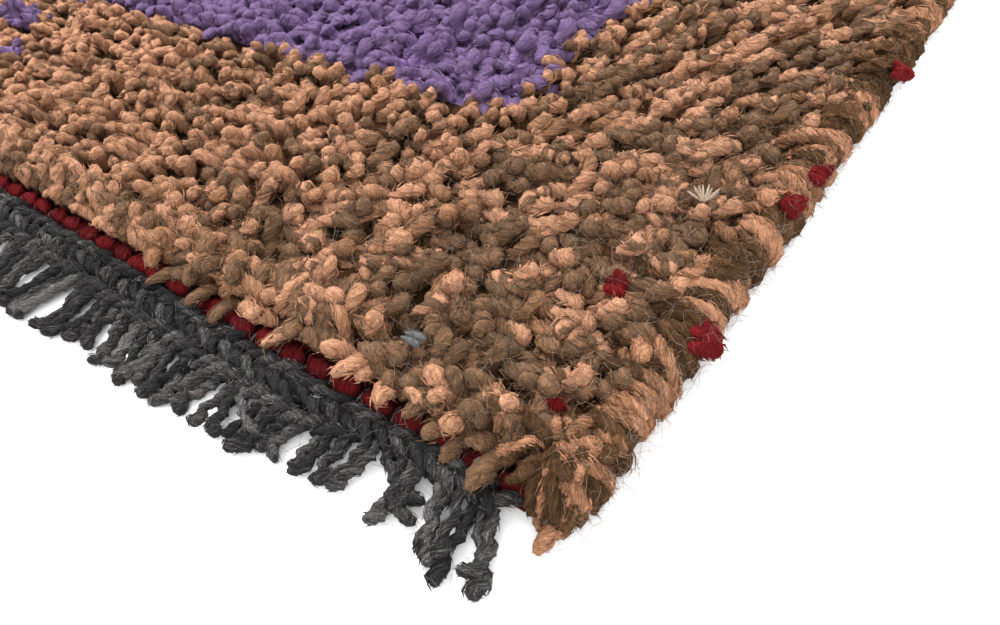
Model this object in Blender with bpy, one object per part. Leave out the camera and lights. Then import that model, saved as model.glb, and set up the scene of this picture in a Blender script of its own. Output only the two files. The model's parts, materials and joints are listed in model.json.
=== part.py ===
"""A small hand-knotted wool rug from Nepal, lying flat on the floor.

The rug is built from the pieces that its maker works: the knotted body with a
short woven lip at each end, an overcast cord down each long side, and a plaited
band across each end, whose cut warp ends are the fringe. X runs across the rug,
along the knot rows, Y runs along it, and Z is up. The origin is the middle of
the box on the floor.
"""

import math
import random

import bmesh
import bpy
from mathutils import Vector, noise

# Driving dimensions, in metres.
RUG_WIDTH = 0.800
PILE_LENGTH = 1.200
KNOT_PITCH = 0.010
ROW_PITCH = 0.012
SEAM_GAP = 0.0003

# Knotted body: its wool pile stands in low ridges, one for each row of knots.
CORD_WIDTH = 0.016
CREST_HEIGHT = 0.0150
VALLEY_HEIGHT = 0.0112
PILE_UNEVENNESS = 0.0010
PILE_LEAN = 0.0020
CREST_POINTS = 15
CREST_STAGGER = 0.4
VALLEY_POINTS = 8
BASE_STATIONS = 21

# Woven lip past the last row, with one round bump of weft for each knot.
BROW_HEIGHT = 0.0105
BROW_DROP = 0.0022
BROW_STAGGER = 0.0008
LIP_FOOT_OUT = 0.0015
LIP_FOOT_HEIGHT = 0.0042
LIP_FOOT_RISE = 0.0006
WEFT_OUT = 0.0037
WEFT_BUMP_HEIGHT = 0.0064
WEFT_DIP_HEIGHT = 0.0048
LIP_LENGTH = 0.0065
LIP_EDGE_HEIGHT = 0.0036
LIP_POINTS = 16

# Overcast side cord: a fat roll of yarn wraps that ends in a drooping knob.
CORD_HEIGHT = 0.0140
CORD_LUMP_PITCH = 0.015
CORD_LUMP_DEPTH = 0.0018
CORD_CROWN_DIP = 0.0011
CORD_DIP = 0.35
CORD_DIP_WAVE = 0.050
CORD_INNER_HEIGHT = 0.0118
CORD_SHOULDER_HEIGHT = 0.0075
CORD_CROWN_IN = 0.0090
CORD_FOOT_IN = 0.0030
KNOB_LENGTH = 0.0110
KNOB_SHAPE = (
    # share of the knob's length, share of the height, share of the width
    (0.40, 0.92, 0.92),
    (0.75, 0.66, 0.74),
    (1.00, 0.30, 0.46),
)

# Plaited band and fringe.
BAND_WIDTH = 0.0132
BAND_END_IN = 0.0162
BAND_INNER_HEIGHT = 0.0036
BAND_RIDGES = (
    # share of the band's width, height of a stitch, height between two stitches
    (0.28, 0.0064, 0.0050),
    (0.68, 0.0056, 0.0042),
)
BAND_POINTS = 16
STRANDS = 112
STRAND_WIDTH = 0.0034
STRAND_HEIGHT = 0.0034
STRAND_REACH = 0.0210
STRAND_LENGTHS = (1.00, 0.72, 0.88, 0.64, 0.95, 0.78, 0.84, 0.69)
STRAND_SLOPE = 0.22
STRAND_SLOPE_SWING = 0.16
STRAND_SLOPE_WAVE = 0.130
STRAND_WANDER = 0.0008
STRAND_TOP = 0.8
STRAND_SECTIONS = (
    # share of the length, share of the full thickness
    (0.52, 1.00),
    (1.00, 0.72),
)
SEED = 41

HALF_WIDTH = RUG_WIDTH / 2
HALF_PILE = PILE_LENGTH / 2
BODY_SIDE = HALF_WIDTH - CORD_WIDTH
CORD_SIDE = BODY_SIDE + SEAM_GAP
BAND_START = HALF_PILE + LIP_LENGTH + SEAM_GAP
BAND_EDGE = BAND_START + BAND_WIDTH
BAND_END = HALF_WIDTH - BAND_END_IN
ROWS = round(PILE_LENGTH / ROW_PITCH)
X, Y = 0, 1


def clear_scene():
    """Removes every object that the scene starts with."""
    for thing in list(bpy.data.objects):
        bpy.data.objects.remove(thing, do_unlink=True)


def make_material(name, colour, roughness):
    """A Principled material for one kind of yarn."""
    material = bpy.data.materials.new(name)
    material.use_nodes = True
    shader = material.node_tree.nodes["Principled BSDF"]
    shader.inputs["Base Color"].default_value = (*colour, 1.0)
    shader.inputs["Roughness"].default_value = roughness
    shader.inputs["Metallic"].default_value = 0.0
    return material


def spread(low, high, count):
    """Evenly spaced values from low to high, both included."""
    return [low + (high - low) * step / (count - 1) for step in range(count)]


def chain(bm, points):
    """One line of vertices."""
    return [bm.verts.new(point) for point in points]


def zip_chains(bm, first, second, axis):
    """Fills the strip between two lines that run the same way along an axis."""
    one, two = 0, 0
    while one < len(first) - 1 or two < len(second) - 1:
        if two == len(second) - 1:
            step_first = True
        elif one == len(first) - 1:
            step_first = False
        else:
            step_first = first[one + 1].co[axis] <= second[two + 1].co[axis]
        if step_first:
            bm.faces.new((first[one], first[one + 1], second[two]))
            one += 1
        else:
            bm.faces.new((first[one], second[two + 1], second[two]))
            two += 1


def finish_mesh(bm, name, material):
    """Turns a closed bmesh into an object of its own."""
    bmesh.ops.recalc_face_normals(bm, faces=bm.faces)
    mesh = bpy.data.meshes.new(name)
    bm.to_mesh(mesh)
    bm.free()
    mesh.materials.append(material)
    thing = bpy.data.objects.new(name, mesh)
    bpy.context.scene.collection.objects.link(thing)
    return thing


def crest_line(row, rng):
    """The top of one row of pile, leaning towards the near end."""
    y = -HALF_PILE + (row + 0.5) * ROW_PITCH - PILE_LEAN
    stagger = CREST_STAGGER * 2 * BODY_SIDE / (CREST_POINTS - 1)
    points = []
    for index, x in enumerate(spread(-BODY_SIDE, BODY_SIDE, CREST_POINTS)):
        if 0 < index < CREST_POINTS - 1:
            x += rng.uniform(-stagger, stagger)
        height = CREST_HEIGHT + PILE_UNEVENNESS * rng.uniform(-1.0, 1.0)
        points.append((x, y, height))
    return points


def valley_line(row, rng):
    """The dip between one row of pile and the next."""
    y = -HALF_PILE + (row + 1) * ROW_PITCH
    points = []
    for x in spread(-BODY_SIDE, BODY_SIDE, VALLEY_POINTS):
        height = VALLEY_HEIGHT + 0.5 * PILE_UNEVENNESS * rng.uniform(-1.0, 1.0)
        points.append((x, y, height))
    return points


def stitched_line(end, out, high, low, stagger):
    """A line with one raised point for each knot, at one end of the rug."""
    count = 2 * int(BODY_SIDE / KNOT_PITCH)
    points = []
    for step in range(-count, count + 1):
        x = step * KNOT_PITCH / 2
        raised = step % 2 == 0
        y = HALF_PILE + out + (stagger if raised else -stagger)
        points.append((x, end * y, high if raised else low))
    side = (HALF_PILE + out) * end
    return [(-BODY_SIDE, side, low)] + points + [(BODY_SIDE, side, low)]


def plain_line(end, out, height):
    """A straight line across the rug, past the last row at one end."""
    y = end * (HALF_PILE + out)
    return [(x, y, height) for x in spread(-BODY_SIDE, BODY_SIDE, LIP_POINTS)]


def lip_lines(end):
    """The pile's brow and the woven lip at one end, from the pile outwards."""
    return [
        stitched_line(end, 0.0, BROW_HEIGHT, BROW_HEIGHT - BROW_DROP, BROW_STAGGER),
        stitched_line(end, LIP_FOOT_OUT, LIP_FOOT_HEIGHT + LIP_FOOT_RISE, LIP_FOOT_HEIGHT, 0.0),
        stitched_line(end, WEFT_OUT, WEFT_BUMP_HEIGHT, WEFT_DIP_HEIGHT, 0.0),
        plain_line(end, LIP_LENGTH, LIP_EDGE_HEIGHT),
    ]


def build_body(material):
    """The knotted body: ridged pile above, a flat back below, a lip at each end."""
    rng = random.Random(SEED)
    lines = lip_lines(-1)[::-1]
    for row in range(ROWS):
        lines.append(crest_line(row, rng))
        if row < ROWS - 1:
            lines.append(valley_line(row, rng))
    lines += lip_lines(1)
    bm = bmesh.new()
    top = [chain(bm, line) for line in lines]
    for near, far in zip(top, top[1:]):
        zip_chains(bm, near, far, X)
    base = []
    end_edge = HALF_PILE + LIP_LENGTH
    for y in spread(-end_edge, end_edge, BASE_STATIONS):
        count = LIP_POINTS if abs(y) > HALF_PILE else 2
        base.append(chain(bm, [(x, y, 0.0) for x in spread(-BODY_SIDE, BODY_SIDE, count)]))
    for near, far in zip(base, base[1:]):
        zip_chains(bm, near, far, X)
    for side in (0, -1):
        zip_chains(bm, [line[side] for line in base], [line[side] for line in top], Y)
    zip_chains(bm, base[0], top[0], X)
    zip_chains(bm, base[-1], top[-1], X)
    return finish_mesh(bm, "rug_body", material)


def cord_section(y, height, width, lump):
    """The five corners of the side cord's section, from its inner foot round."""
    inner = HALF_WIDTH - (HALF_WIDTH - CORD_SIDE) * width
    reach = HALF_WIDTH - CORD_LUMP_DEPTH * (1.0 - lump)
    crown = CORD_HEIGHT * height - CORD_CROWN_DIP * (1.0 - lump)
    return [
        (inner, y, 0.0),
        (inner, y, CORD_INNER_HEIGHT * height),
        (HALF_WIDTH - CORD_CROWN_IN * width, y, crown),
        (reach, y, CORD_SHOULDER_HEIGHT * height),
        (reach - CORD_FOOT_IN * width, y, 0.0),
    ]


def knob_sections(end):
    """The sections of the knob at one end of the side cord, from the cord outwards."""
    sections = []
    for along, height, width in KNOB_SHAPE:
        y = end * (HALF_PILE + KNOB_LENGTH * along)
        sections.append(cord_section(y, height, width, 1.0 - along / 2))
    return sections


def build_cord(material):
    """The overcast cord along the right side, with a knob at each corner."""
    sections = knob_sections(-1)[::-1]
    steps = 2 * round(PILE_LENGTH / CORD_LUMP_PITCH)
    for step in range(steps + 1):
        y = -HALF_PILE + PILE_LENGTH * step / steps
        dip = CORD_DIP * (1.0 + noise.noise(Vector((0.0, y / CORD_DIP_WAVE, 0.0))))
        sections.append(cord_section(y, 1.0, 1.0, 1.0 if step % 2 else dip))
    sections += knob_sections(1)
    bm = bmesh.new()
    lines = [chain(bm, line) for line in zip(*sections)]
    for line, following in zip(lines, lines[1:] + lines[:1]):
        zip_chains(bm, line, following, Y)
    for end in (0, -1):
        bm.faces.new([line[end] for line in lines])
    return finish_mesh(bm, "side_cord_right", material)


def strand_ring(bm, centre, heading, share):
    """Four corners of a strand's section, with its flat side on the floor."""
    across = Vector((-heading.y, heading.x, 0.0)) * (STRAND_WIDTH * share / 2)
    rise = Vector((0.0, 0.0, STRAND_HEIGHT * share))
    return [
        bm.verts.new(centre + across),
        bm.verts.new(centre - across),
        bm.verts.new(centre - across * STRAND_TOP + rise),
        bm.verts.new(centre + across * STRAND_TOP + rise),
    ]


def add_strand(bm, root, length, slope, rng):
    """Draws one strand out of its root on the band, bending once on its way to the tip."""
    centre = (root[0].co + root[1].co) / 2
    start_x = centre.x
    rings = [root]
    for along, share in STRAND_SECTIONS:
        before = centre
        x = start_x + slope * length * along**2 + rng.uniform(-STRAND_WANDER, STRAND_WANDER)
        centre = Vector((x, -BAND_EDGE - length * along, 0.0))
        rings.append(strand_ring(bm, centre, (centre - before).normalized(), share))
    for near, far in zip(rings, rings[1:]):
        for corner in range(4):
            following = (corner + 1) % 4
            bm.faces.new((near[corner], near[following], far[following], far[corner]))
    bm.faces.new(rings[-1])


def band_line(out, high, low):
    """A line of plait stitches along the near band, one for each knot."""
    count = 2 * int(BAND_END / KNOT_PITCH)
    y = -(BAND_START + BAND_WIDTH * out)
    points = [(step * KNOT_PITCH / 2, y, low if step % 2 else high) for step in range(-count, count + 1)]
    return [(-BAND_END, y, low)] + points + [(BAND_END, y, low)]


def build_band(material):
    """The plaited band across the near end, with the fringe drawn out of its edge."""
    rng = random.Random(SEED + 1)
    pitch = 2 * (BAND_END - STRAND_WIDTH) / (STRANDS - 1)
    edge_x = [-BAND_END]
    for strand in range(STRANDS):
        centre = -BAND_END + STRAND_WIDTH + strand * pitch
        edge_x += [centre - STRAND_WIDTH / 2, centre + STRAND_WIDTH / 2]
    edge_x.append(BAND_END)
    plain_x = spread(-BAND_END, BAND_END, BAND_POINTS)
    bm = bmesh.new()
    inner_foot = chain(bm, [(x, -BAND_START, 0.0) for x in plain_x])
    inner_top = chain(bm, [(x, -BAND_START, BAND_INNER_HEIGHT) for x in plain_x])
    ridges = [chain(bm, band_line(*ridge)) for ridge in BAND_RIDGES]
    edge_top = chain(bm, [(x, -BAND_EDGE, STRAND_HEIGHT) for x in edge_x])
    edge_foot = chain(bm, [(x, -BAND_EDGE, 0.0) for x in edge_x])
    lines = [inner_foot, inner_top, *ridges, edge_top]
    for line, following in zip(lines, lines[1:]):
        zip_chains(bm, line, following, X)
    zip_chains(bm, edge_foot, inner_foot, X)
    for end in (0, -1):
        bm.faces.new([line[end] for line in [*lines, edge_foot]])
    for index in range(len(edge_x) - 1):
        corners = [edge_foot[index + 1], edge_foot[index], edge_top[index], edge_top[index + 1]]
        if index % 2 == 0:
            bm.faces.new(corners)
            continue
        strand = index // 2
        length = STRAND_REACH * STRAND_LENGTHS[strand % len(STRAND_LENGTHS)]
        swing = math.sin(2 * math.pi * corners[0].co.x / STRAND_SLOPE_WAVE)
        add_strand(bm, corners, length, STRAND_SLOPE + STRAND_SLOPE_SWING * swing, rng)
    return finish_mesh(bm, "end_band_front", material)


def turned_copy(thing, name):
    """The same piece at the opposite side or end, turned half round."""
    copy = bpy.data.objects.new(name, thing.data)
    copy.rotation_euler = (0.0, 0.0, math.pi)
    bpy.context.scene.collection.objects.link(copy)
    return copy


def main():
    """Builds every piece and hangs them on one empty."""
    clear_scene()
    pile_wool = make_material("pile_wool", (0.42, 0.23, 0.14), 0.95)
    cord_wool = make_material("cord_wool", (0.34, 0.20, 0.12), 0.95)
    grey_wool = make_material("grey_wool", (0.07, 0.065, 0.068), 0.95)
    body = build_body(pile_wool)
    cord = build_cord(cord_wool)
    band = build_band(grey_wool)
    pieces = [
        body,
        cord,
        turned_copy(cord, "side_cord_left"),
        band,
        turned_copy(band, "end_band_back"),
    ]
    rug = bpy.data.objects.new("rug", None)
    bpy.context.scene.collection.objects.link(rug)
    for piece in pieces:
        piece.parent = rug


main()
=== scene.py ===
"""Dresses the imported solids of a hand-knotted wool rug from Nepal.

Every length of yarn is a swept form of its own: the tufts of the pile, the bumps
of weft, the stitches of the plaited ends, the strands of the fringe, the turns
round the side cords and the loose hairs. Each kind has a few shapes, and one
Geometry Nodes tree sets them on points that are worked out knot by knot.
"""

import json
import logging
import math
import random
from collections.abc import Callable
from dataclasses import dataclass, field, replace
from enum import Enum

import bpy
import numpy as np
from mathutils import Matrix, Vector, noise

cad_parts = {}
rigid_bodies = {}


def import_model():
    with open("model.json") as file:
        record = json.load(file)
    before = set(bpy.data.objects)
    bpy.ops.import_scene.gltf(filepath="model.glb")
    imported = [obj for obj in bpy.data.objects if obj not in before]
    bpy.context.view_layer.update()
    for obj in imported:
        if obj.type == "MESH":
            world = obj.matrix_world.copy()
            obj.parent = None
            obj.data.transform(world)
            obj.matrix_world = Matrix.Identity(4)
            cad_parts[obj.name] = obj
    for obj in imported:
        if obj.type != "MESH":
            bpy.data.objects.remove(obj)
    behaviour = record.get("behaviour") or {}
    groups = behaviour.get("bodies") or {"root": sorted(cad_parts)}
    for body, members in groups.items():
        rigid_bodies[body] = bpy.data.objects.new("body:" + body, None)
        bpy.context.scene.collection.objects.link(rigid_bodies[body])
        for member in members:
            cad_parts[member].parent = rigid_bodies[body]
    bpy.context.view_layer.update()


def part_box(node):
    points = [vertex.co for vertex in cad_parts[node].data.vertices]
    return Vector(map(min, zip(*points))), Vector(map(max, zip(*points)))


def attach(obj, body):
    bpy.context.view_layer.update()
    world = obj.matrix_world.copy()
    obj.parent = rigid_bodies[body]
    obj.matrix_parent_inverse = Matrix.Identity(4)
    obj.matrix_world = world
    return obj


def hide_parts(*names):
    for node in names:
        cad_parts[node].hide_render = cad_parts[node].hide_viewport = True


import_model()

LOG = logging.getLogger("rug")
BODY = "root"
YARN_UV = "yarn"
FLOOR_CLEARANCE = 0.0002
BODY_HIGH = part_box("rug_body")[1]
CORD_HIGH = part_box("side_cord_right")[1]

Socket = bpy.types.NodeSocket
Value = float | Socket
Paint = tuple[float, float, float, float]
Colour = Paint | Socket
Triple = tuple[float, float, float]
Profile = tuple[tuple[float, float], ...]


class Slot(Enum):
    """The record's material slots."""

    PILE = "pile_wool"
    CORD = "cord_wool"
    GREY = "grey_wool"


class Detail(Enum):
    """How finely a length of yarn is made, by how near the photograph shows it."""

    CLOSE = (8, 7, 1.0, 1.0)
    FINE = (6, 5, 0.1, 0.34)
    MIDDLE = (5, 4, 0.0, 0.0)
    PLAIN = (4, 3, 0.0, 0.0)

    @property
    def sides(self) -> int:
        """Corners in the yarn's section."""
        return self.value[0]

    @property
    def rings(self) -> int:
        """Sections along the yarn."""
        return self.value[1]

    @property
    def fibre_share(self) -> float:
        """How many of the yarn's loose fibres are made."""
        return self.value[2]

    @property
    def wisp_share(self) -> float:
        """How many of the hairs wound round the yarn are made."""
        return self.value[3]


@dataclass(frozen=True)
class Gauge:
    """Sizes set by the maker's loom and yarn, and what follows from them and the solids."""

    knot: float = 0.010
    row: float = 0.012
    lip: float = 0.0065
    root_height: float = 0.0035
    pile_length: float = 0.0140
    yarn_radius: float = 0.0024

    @property
    def half_pile(self) -> float:
        """Half the length of the knotted part."""
        return BODY_HIGH.y - self.lip

    @property
    def rows(self) -> int:
        """Rows of knots in the rug."""
        return round(2 * self.half_pile / self.row)

    @property
    def half_columns(self) -> int:
        """Knots from the middle of a row to its side, the middle one left out."""
        return int(BODY_HIGH.x / self.knot)

    def row_place(self, row: int) -> float:
        """The Y of a row's knots.

        Args:
            row: The row's number, from the near end.

        Returns:
            Its place along the rug, in metres.
        """
        return -self.half_pile + (row + 0.5) * self.row


GAUGE = Gauge()


@dataclass(frozen=True)
class Design:
    """The rug's design: a plain border, a purple field and a small dotted lozenge at each end.

    The border's sizes are those at the roots. The tufts lean over them, so their tips draw
    the line between border and field some millimetres away.
    """

    border_width: float = 0.0965
    border_length: float = 0.1090
    motif_rows: tuple[tuple[int, int, int], ...] = ((2, 0, 3), (4, 0, 0), (4, 5, 5), (6, 0, 3))

    @property
    def field_x(self) -> float:
        """Half the width of the field."""
        return BODY_HIGH.x - self.border_width

    @property
    def field_y(self) -> float:
        """Half the length of the field."""
        return GAUGE.half_pile - self.border_length

    def in_field(self, x: float, y: float) -> bool:
        """Says whether a place belongs to the field inside the border."""
        return abs(x) < self.field_x and abs(y) < self.field_y

    def in_motif(self, column: int, row: int) -> bool:
        """Says whether a knot is on the lozenge in an end border."""
        from_end = min(row, GAUGE.rows - 1 - row)
        return any(from_end == at and low <= abs(column) <= high for at, low, high in self.motif_rows)


DESIGN = Design()


@dataclass(frozen=True)
class PhotoCamera:
    """The camera at the photograph's viewing angle, close over the near right corner."""

    place: Triple = (0.4404, -0.6622, 0.137)
    pitch: float = 44.7
    yaw: float = -43.9
    roll: float = -9.8
    focal_share: float = 0.7379
    sensor: float = 36.0
    frame_share: float = 0.625

    def axes(self) -> tuple[Vector, Vector, Vector]:
        """Works out how the camera is turned.

        Returns:
            Its right, up and forward directions.
        """
        pitch, yaw, roll = (math.radians(a) for a in (self.pitch, self.yaw, self.roll))
        forward = Vector(
            (math.sin(yaw) * math.cos(pitch), math.cos(yaw) * math.cos(pitch), -math.sin(pitch))
        )
        level = Vector((math.cos(yaw), -math.sin(yaw), 0.0))
        rise = level.cross(forward)
        right = math.cos(roll) * level + math.sin(roll) * rise
        up = math.cos(roll) * rise - math.sin(roll) * level
        return right, up, forward

    def distance_in_view(self, point: Vector, margin: float) -> float | None:
        """Tells how far a point is, if the frame holds it.

        Args:
            point: A place on the rug.
            margin: What is added to the frame on each side, as a share of its width.

        Returns:
            The distance along the view in metres, or None outside the frame.
        """
        right, up, forward = self.axes()
        away = point - Vector(self.place)
        depth = away.dot(forward)
        if depth <= 0:
            return None
        across = abs(away.dot(right) / depth * self.focal_share)
        along = abs(away.dot(up) / depth * self.focal_share)
        if across > 0.5 + margin or along > self.frame_share / 2 + margin:
            return None
        return depth

    def build(self) -> None:
        """Makes the camera and sets it as the scene's."""
        right, up, forward = self.axes()
        data = bpy.data.cameras.new("photo_camera")
        data.sensor_width = self.sensor
        data.lens = self.focal_share * self.sensor
        data.clip_start = 0.01
        data.clip_end = 20.0
        camera = bpy.data.objects.new("photo_camera", data)
        turn = Matrix((right, up, -forward)).transposed().to_4x4()
        camera.matrix_world = Matrix.Translation(self.place) @ turn
        bpy.context.scene.collection.objects.link(camera)
        bpy.context.scene.camera = camera


CAMERA = PhotoCamera()


def add_node(
    tree: bpy.types.NodeTree, kind: str, inputs: dict | None = None, **settings: object
) -> bpy.types.Node:
    """Adds a node with its settings, and gives its inputs their values or links.

    Args:
        tree: The node tree that takes it.
        kind: The node's type name.
        inputs: For each input's name or number, a value or an output to link from.
        **settings: The node's own properties.

    Returns:
        The new node.
    """
    made = tree.nodes.new(kind)
    for name, value in settings.items():
        setattr(made, name, value)
    for key, value in (inputs or {}).items():
        if isinstance(value, Socket):
            tree.links.new(value, made.inputs[key])
        else:
            made.inputs[key].default_value = value
    return made


def math_node(tree: bpy.types.NodeTree, operation: str, *values: Value, clamp: bool = False) -> Socket:
    """Adds a Math node.

    Args:
        tree: The node tree that takes it.
        operation: What it does, in Blender's words.
        *values: Its inputs in order, each a number or an output.
        clamp: Whether its result is kept from 0 to 1.

    Returns:
        Its output.
    """
    inputs = dict(enumerate(values))
    return add_node(tree, "ShaderNodeMath", inputs, operation=operation, use_clamp=clamp).outputs[0]


def mix_colours(
    tree: bpy.types.NodeTree, share: Value, first: Colour, second: Colour, blend: str = "MIX"
) -> Socket:
    """Adds a colour Mix node.

    Args:
        tree: The node tree that takes it.
        share: How much of the second colour is taken, a number or an output.
        first: The first colour or output.
        second: The second colour or output.
        blend: The way of mixing.

    Returns:
        The mixed colour.
    """
    inputs = {0: share, 6: first, 7: second}
    return add_node(tree, "ShaderNodeMix", inputs, data_type="RGBA", blend_type=blend).outputs[2]


def ramp_between(tree: bpy.types.NodeTree, value: Value, low: float, high: float) -> Socket:
    """Adds a smooth step from 0 at one value to 1 at another."""
    inputs = {"Value": value, "From Min": low, "From Max": high}
    return add_node(tree, "ShaderNodeMapRange", inputs, interpolation_type="SMOOTHSTEP").outputs["Result"]


def noise_node(
    tree: bpy.types.NodeTree, place: Socket, scale: float, detail: float, **more: float
) -> Socket:
    """Adds a Noise Texture node.

    Args:
        tree: The node tree that takes it.
        place: The coordinates that it is read at.
        scale: How close together its lumps are.
        detail: How much finer noise is added.
        **more: Its other inputs, such as Roughness.

    Returns:
        Its level, from 0 to 1.
    """
    inputs = {"Vector": place, "Scale": scale, "Detail": detail, **more}
    return add_node(tree, "ShaderNodeTexNoise", inputs).outputs[0]


class WoolGroup:
    """The shader node group that every yarn shares: dyed plies, loose fibres, and painted shade at the roots
    and in the grooves.
    """

    INPUTS = (
        ("Dark", "NodeSocketColor", (0.1, 0.1, 0.1, 1.0)),
        ("Middle", "NodeSocketColor", (0.3, 0.3, 0.3, 1.0)),
        ("Light", "NodeSocketColor", (0.6, 0.6, 0.6, 1.0)),
        ("Heather", "NodeSocketFloat", 0.35),
        ("Root Shade", "NodeSocketFloat", 0.45),
        ("Tip Shade", "NodeSocketFloat", 0.0),
        ("Groove Shade", "NodeSocketFloat", 0.35),
        ("Fibre Relief", "NodeSocketFloat", 0.5),
        ("Hair", "NodeSocketFloat", 0.3),
    )
    PLY_SLANT = -0.35
    STREAKS_AROUND = 26.0
    STREAKS_ALONG = 7.0
    FUZZ_PER_METRE = 2000.0
    HAIR_LINES = ((800.0, 0.030), (1300.0, 0.040))
    RELIEF_DEPTH = 0.0016

    def __init__(self) -> None:
        """Builds the group once."""
        self.tree = bpy.data.node_groups.new("wool_yarn", "ShaderNodeTree")
        for name, kind, value in self.INPUTS:
            socket = self.tree.interface.new_socket(name, in_out="INPUT", socket_type=kind)
            socket.default_value = value
        self.tree.interface.new_socket("Colour", in_out="OUTPUT", socket_type="NodeSocketColor")
        self.tree.interface.new_socket("Normal", in_out="OUTPUT", socket_type="NodeSocketVector")
        self._fill()

    def _math(self, operation: str, *values: Value, clamp: bool = False) -> Socket:
        """Adds a Math node to the group."""
        return math_node(self.tree, operation, *values, clamp=clamp)

    def _attribute(self, name: str) -> Socket:
        """Reads one of the yarn's own numbers."""
        made = add_node(self.tree, "ShaderNodeAttribute", attribute_name=name, attribute_type="GEOMETRY")
        return made.outputs["Fac"]

    def _fibres(self, around: Socket, along: Socket, chance: Socket) -> Socket:
        """Makes streaks of fibre that run with the ply, other ones on each yarn.

        Args:
            around: How far round the yarn a place is, wound with the ply.
            along: How far along the yarn it is.
            chance: The yarn's own number.

        Returns:
            The streaks' level, from 0 to 1.
        """
        shifts = [self._math("MULTIPLY", chance, shift) for shift in (91.0, 17.0, 53.0)]
        across = self._math("MULTIPLY_ADD", around, self.STREAKS_AROUND, shifts[0])
        slant = self._math("MULTIPLY_ADD", along, self.STREAKS_ALONG, shifts[1])
        inputs = {0: across, 1: slant, 2: shifts[2]}
        place = add_node(self.tree, "ShaderNodeCombineXYZ", inputs).outputs[0]
        return noise_node(self.tree, place, 1.0, 3.0, Roughness=0.65)

    def _hairs(self, place: Socket, scale: float, width: float) -> Socket:
        """Thin curling lines, as hairs make that lie on the wool.

        Args:
            place: The object's coordinates.
            scale: How close together the lines are, per metre.
            width: How wide they are, as a share of the noise's range.

        Returns:
            1 on a line and 0 beside it.
        """
        level = noise_node(self.tree, place, scale, 1.5, Roughness=0.55, Distortion=0.6)
        off = self._math("ABSOLUTE", self._math("SUBTRACT", level, 0.5))
        return self._math("SUBTRACT", 1.0, ramp_between(self.tree, off, width * 0.3, width))

    def _dyed(self, given: bpy.types.NodeOutputs, plied: Socket, streak: Socket) -> Socket:
        """Mixes the three depths of the dye.

        Args:
            given: The group's inputs.
            plied: The tone of the ply that a place is on.
            streak: The fibres' level, about 0.

        Returns:
            The wool's colour before it is shaded.
        """
        tone = self._math(
            "MULTIPLY_ADD", streak, self._math("MULTIPLY", given["Heather"], 3.0), plied, clamp=True
        )
        lower = self._math("MULTIPLY", tone, 2.0, clamp=True)
        upper = self._math("MULTIPLY_ADD", tone, 2.0, -1.0, clamp=True)
        colour = mix_colours(self.tree, lower, given["Dark"], given["Middle"])
        return mix_colours(self.tree, upper, colour, given["Light"])

    def _fill(self) -> None:
        """Links the group's nodes."""
        tree = self.tree
        given = add_node(tree, "NodeGroupInput").outputs
        yarn = add_node(tree, "ShaderNodeUVMap", uv_map=YARN_UV).outputs[0]
        around, along, _ = add_node(tree, "ShaderNodeSeparateXYZ", {0: yarn}).outputs
        place = add_node(tree, "ShaderNodeTexCoord").outputs["Object"]
        tone, marl, chance = (self._attribute(name) for name in ("tone", "marl", "chance"))

        # The plies' grooves, the fibres in them and the hairs on them
        wound = self._math("MULTIPLY_ADD", along, self.PLY_SLANT, around)
        side = self._math("COSINE", self._math("MULTIPLY", wound, 4 * math.pi))
        ply = ramp_between(tree, side, -0.3, 0.3)
        groove = self._math("SUBTRACT", 1.0, ramp_between(tree, self._math("ABSOLUTE", side), 0.0, 0.55))
        fibres = self._fibres(wound, along, chance)
        streak = self._math("SUBTRACT", fibres, 0.5)
        fuzz = noise_node(tree, place, self.FUZZ_PER_METRE, 2.0, Roughness=0.6)
        hairs = self._math("MAXIMUM", *(self._hairs(place, *line) for line in self.HAIR_LINES))

        # The dye, with painted shade towards the root and in the ply grooves, and darker towards the tip
        plied = add_node(tree, "ShaderNodeMix", {0: ply, 2: marl, 3: tone}, data_type="FLOAT").outputs[0]
        colour = self._dyed(given, plied, streak)
        rooted = self._math("SUBTRACT", 1.0, ramp_between(tree, along, 0.0, 0.75))
        tip = ramp_between(tree, along, 0.7, 1.0)
        # Painted shade at the roots and in the grooves, where the yarns shade each other; a Root Shade below
        # 0 paints light into the roots
        shade = self._math("MULTIPLY", rooted, given["Root Shade"])
        shade = self._math("MULTIPLY_ADD", groove, given["Groove Shade"], shade)
        shade = self._math("MULTIPLY_ADD", streak, -0.6, shade)
        shade = self._math("MULTIPLY_ADD", tip, given["Tip Shade"], shade)
        shade = self._math("ADD", self._math("SUBTRACT", 0.5, fuzz), shade)
        shade = self._math("SUBTRACT", shade, self._math("MULTIPLY", hairs, given["Hair"]))
        light = self._math("SUBTRACT", 1.0, shade)
        grey = add_node(tree, "ShaderNodeCombineColor", {0: light, 1: light, 2: light}).outputs[0]
        colour = mix_colours(tree, 1.0, colour, grey, blend="MULTIPLY")

        # The relief
        height = self._math("MULTIPLY_ADD", hairs, 0.35, fibres)
        height = self._math("MULTIPLY_ADD", fuzz, 0.6, height)
        height = self._math("MULTIPLY_ADD", groove, -0.45, height)
        inputs = {"Strength": given["Fibre Relief"], "Distance": self.RELIEF_DEPTH, "Height": height}
        bump = add_node(tree, "ShaderNodeBump", inputs)
        add_node(tree, "NodeGroupOutput", {"Colour": colour, "Normal": bump.outputs[0]})


WOOL = WoolGroup()


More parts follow.
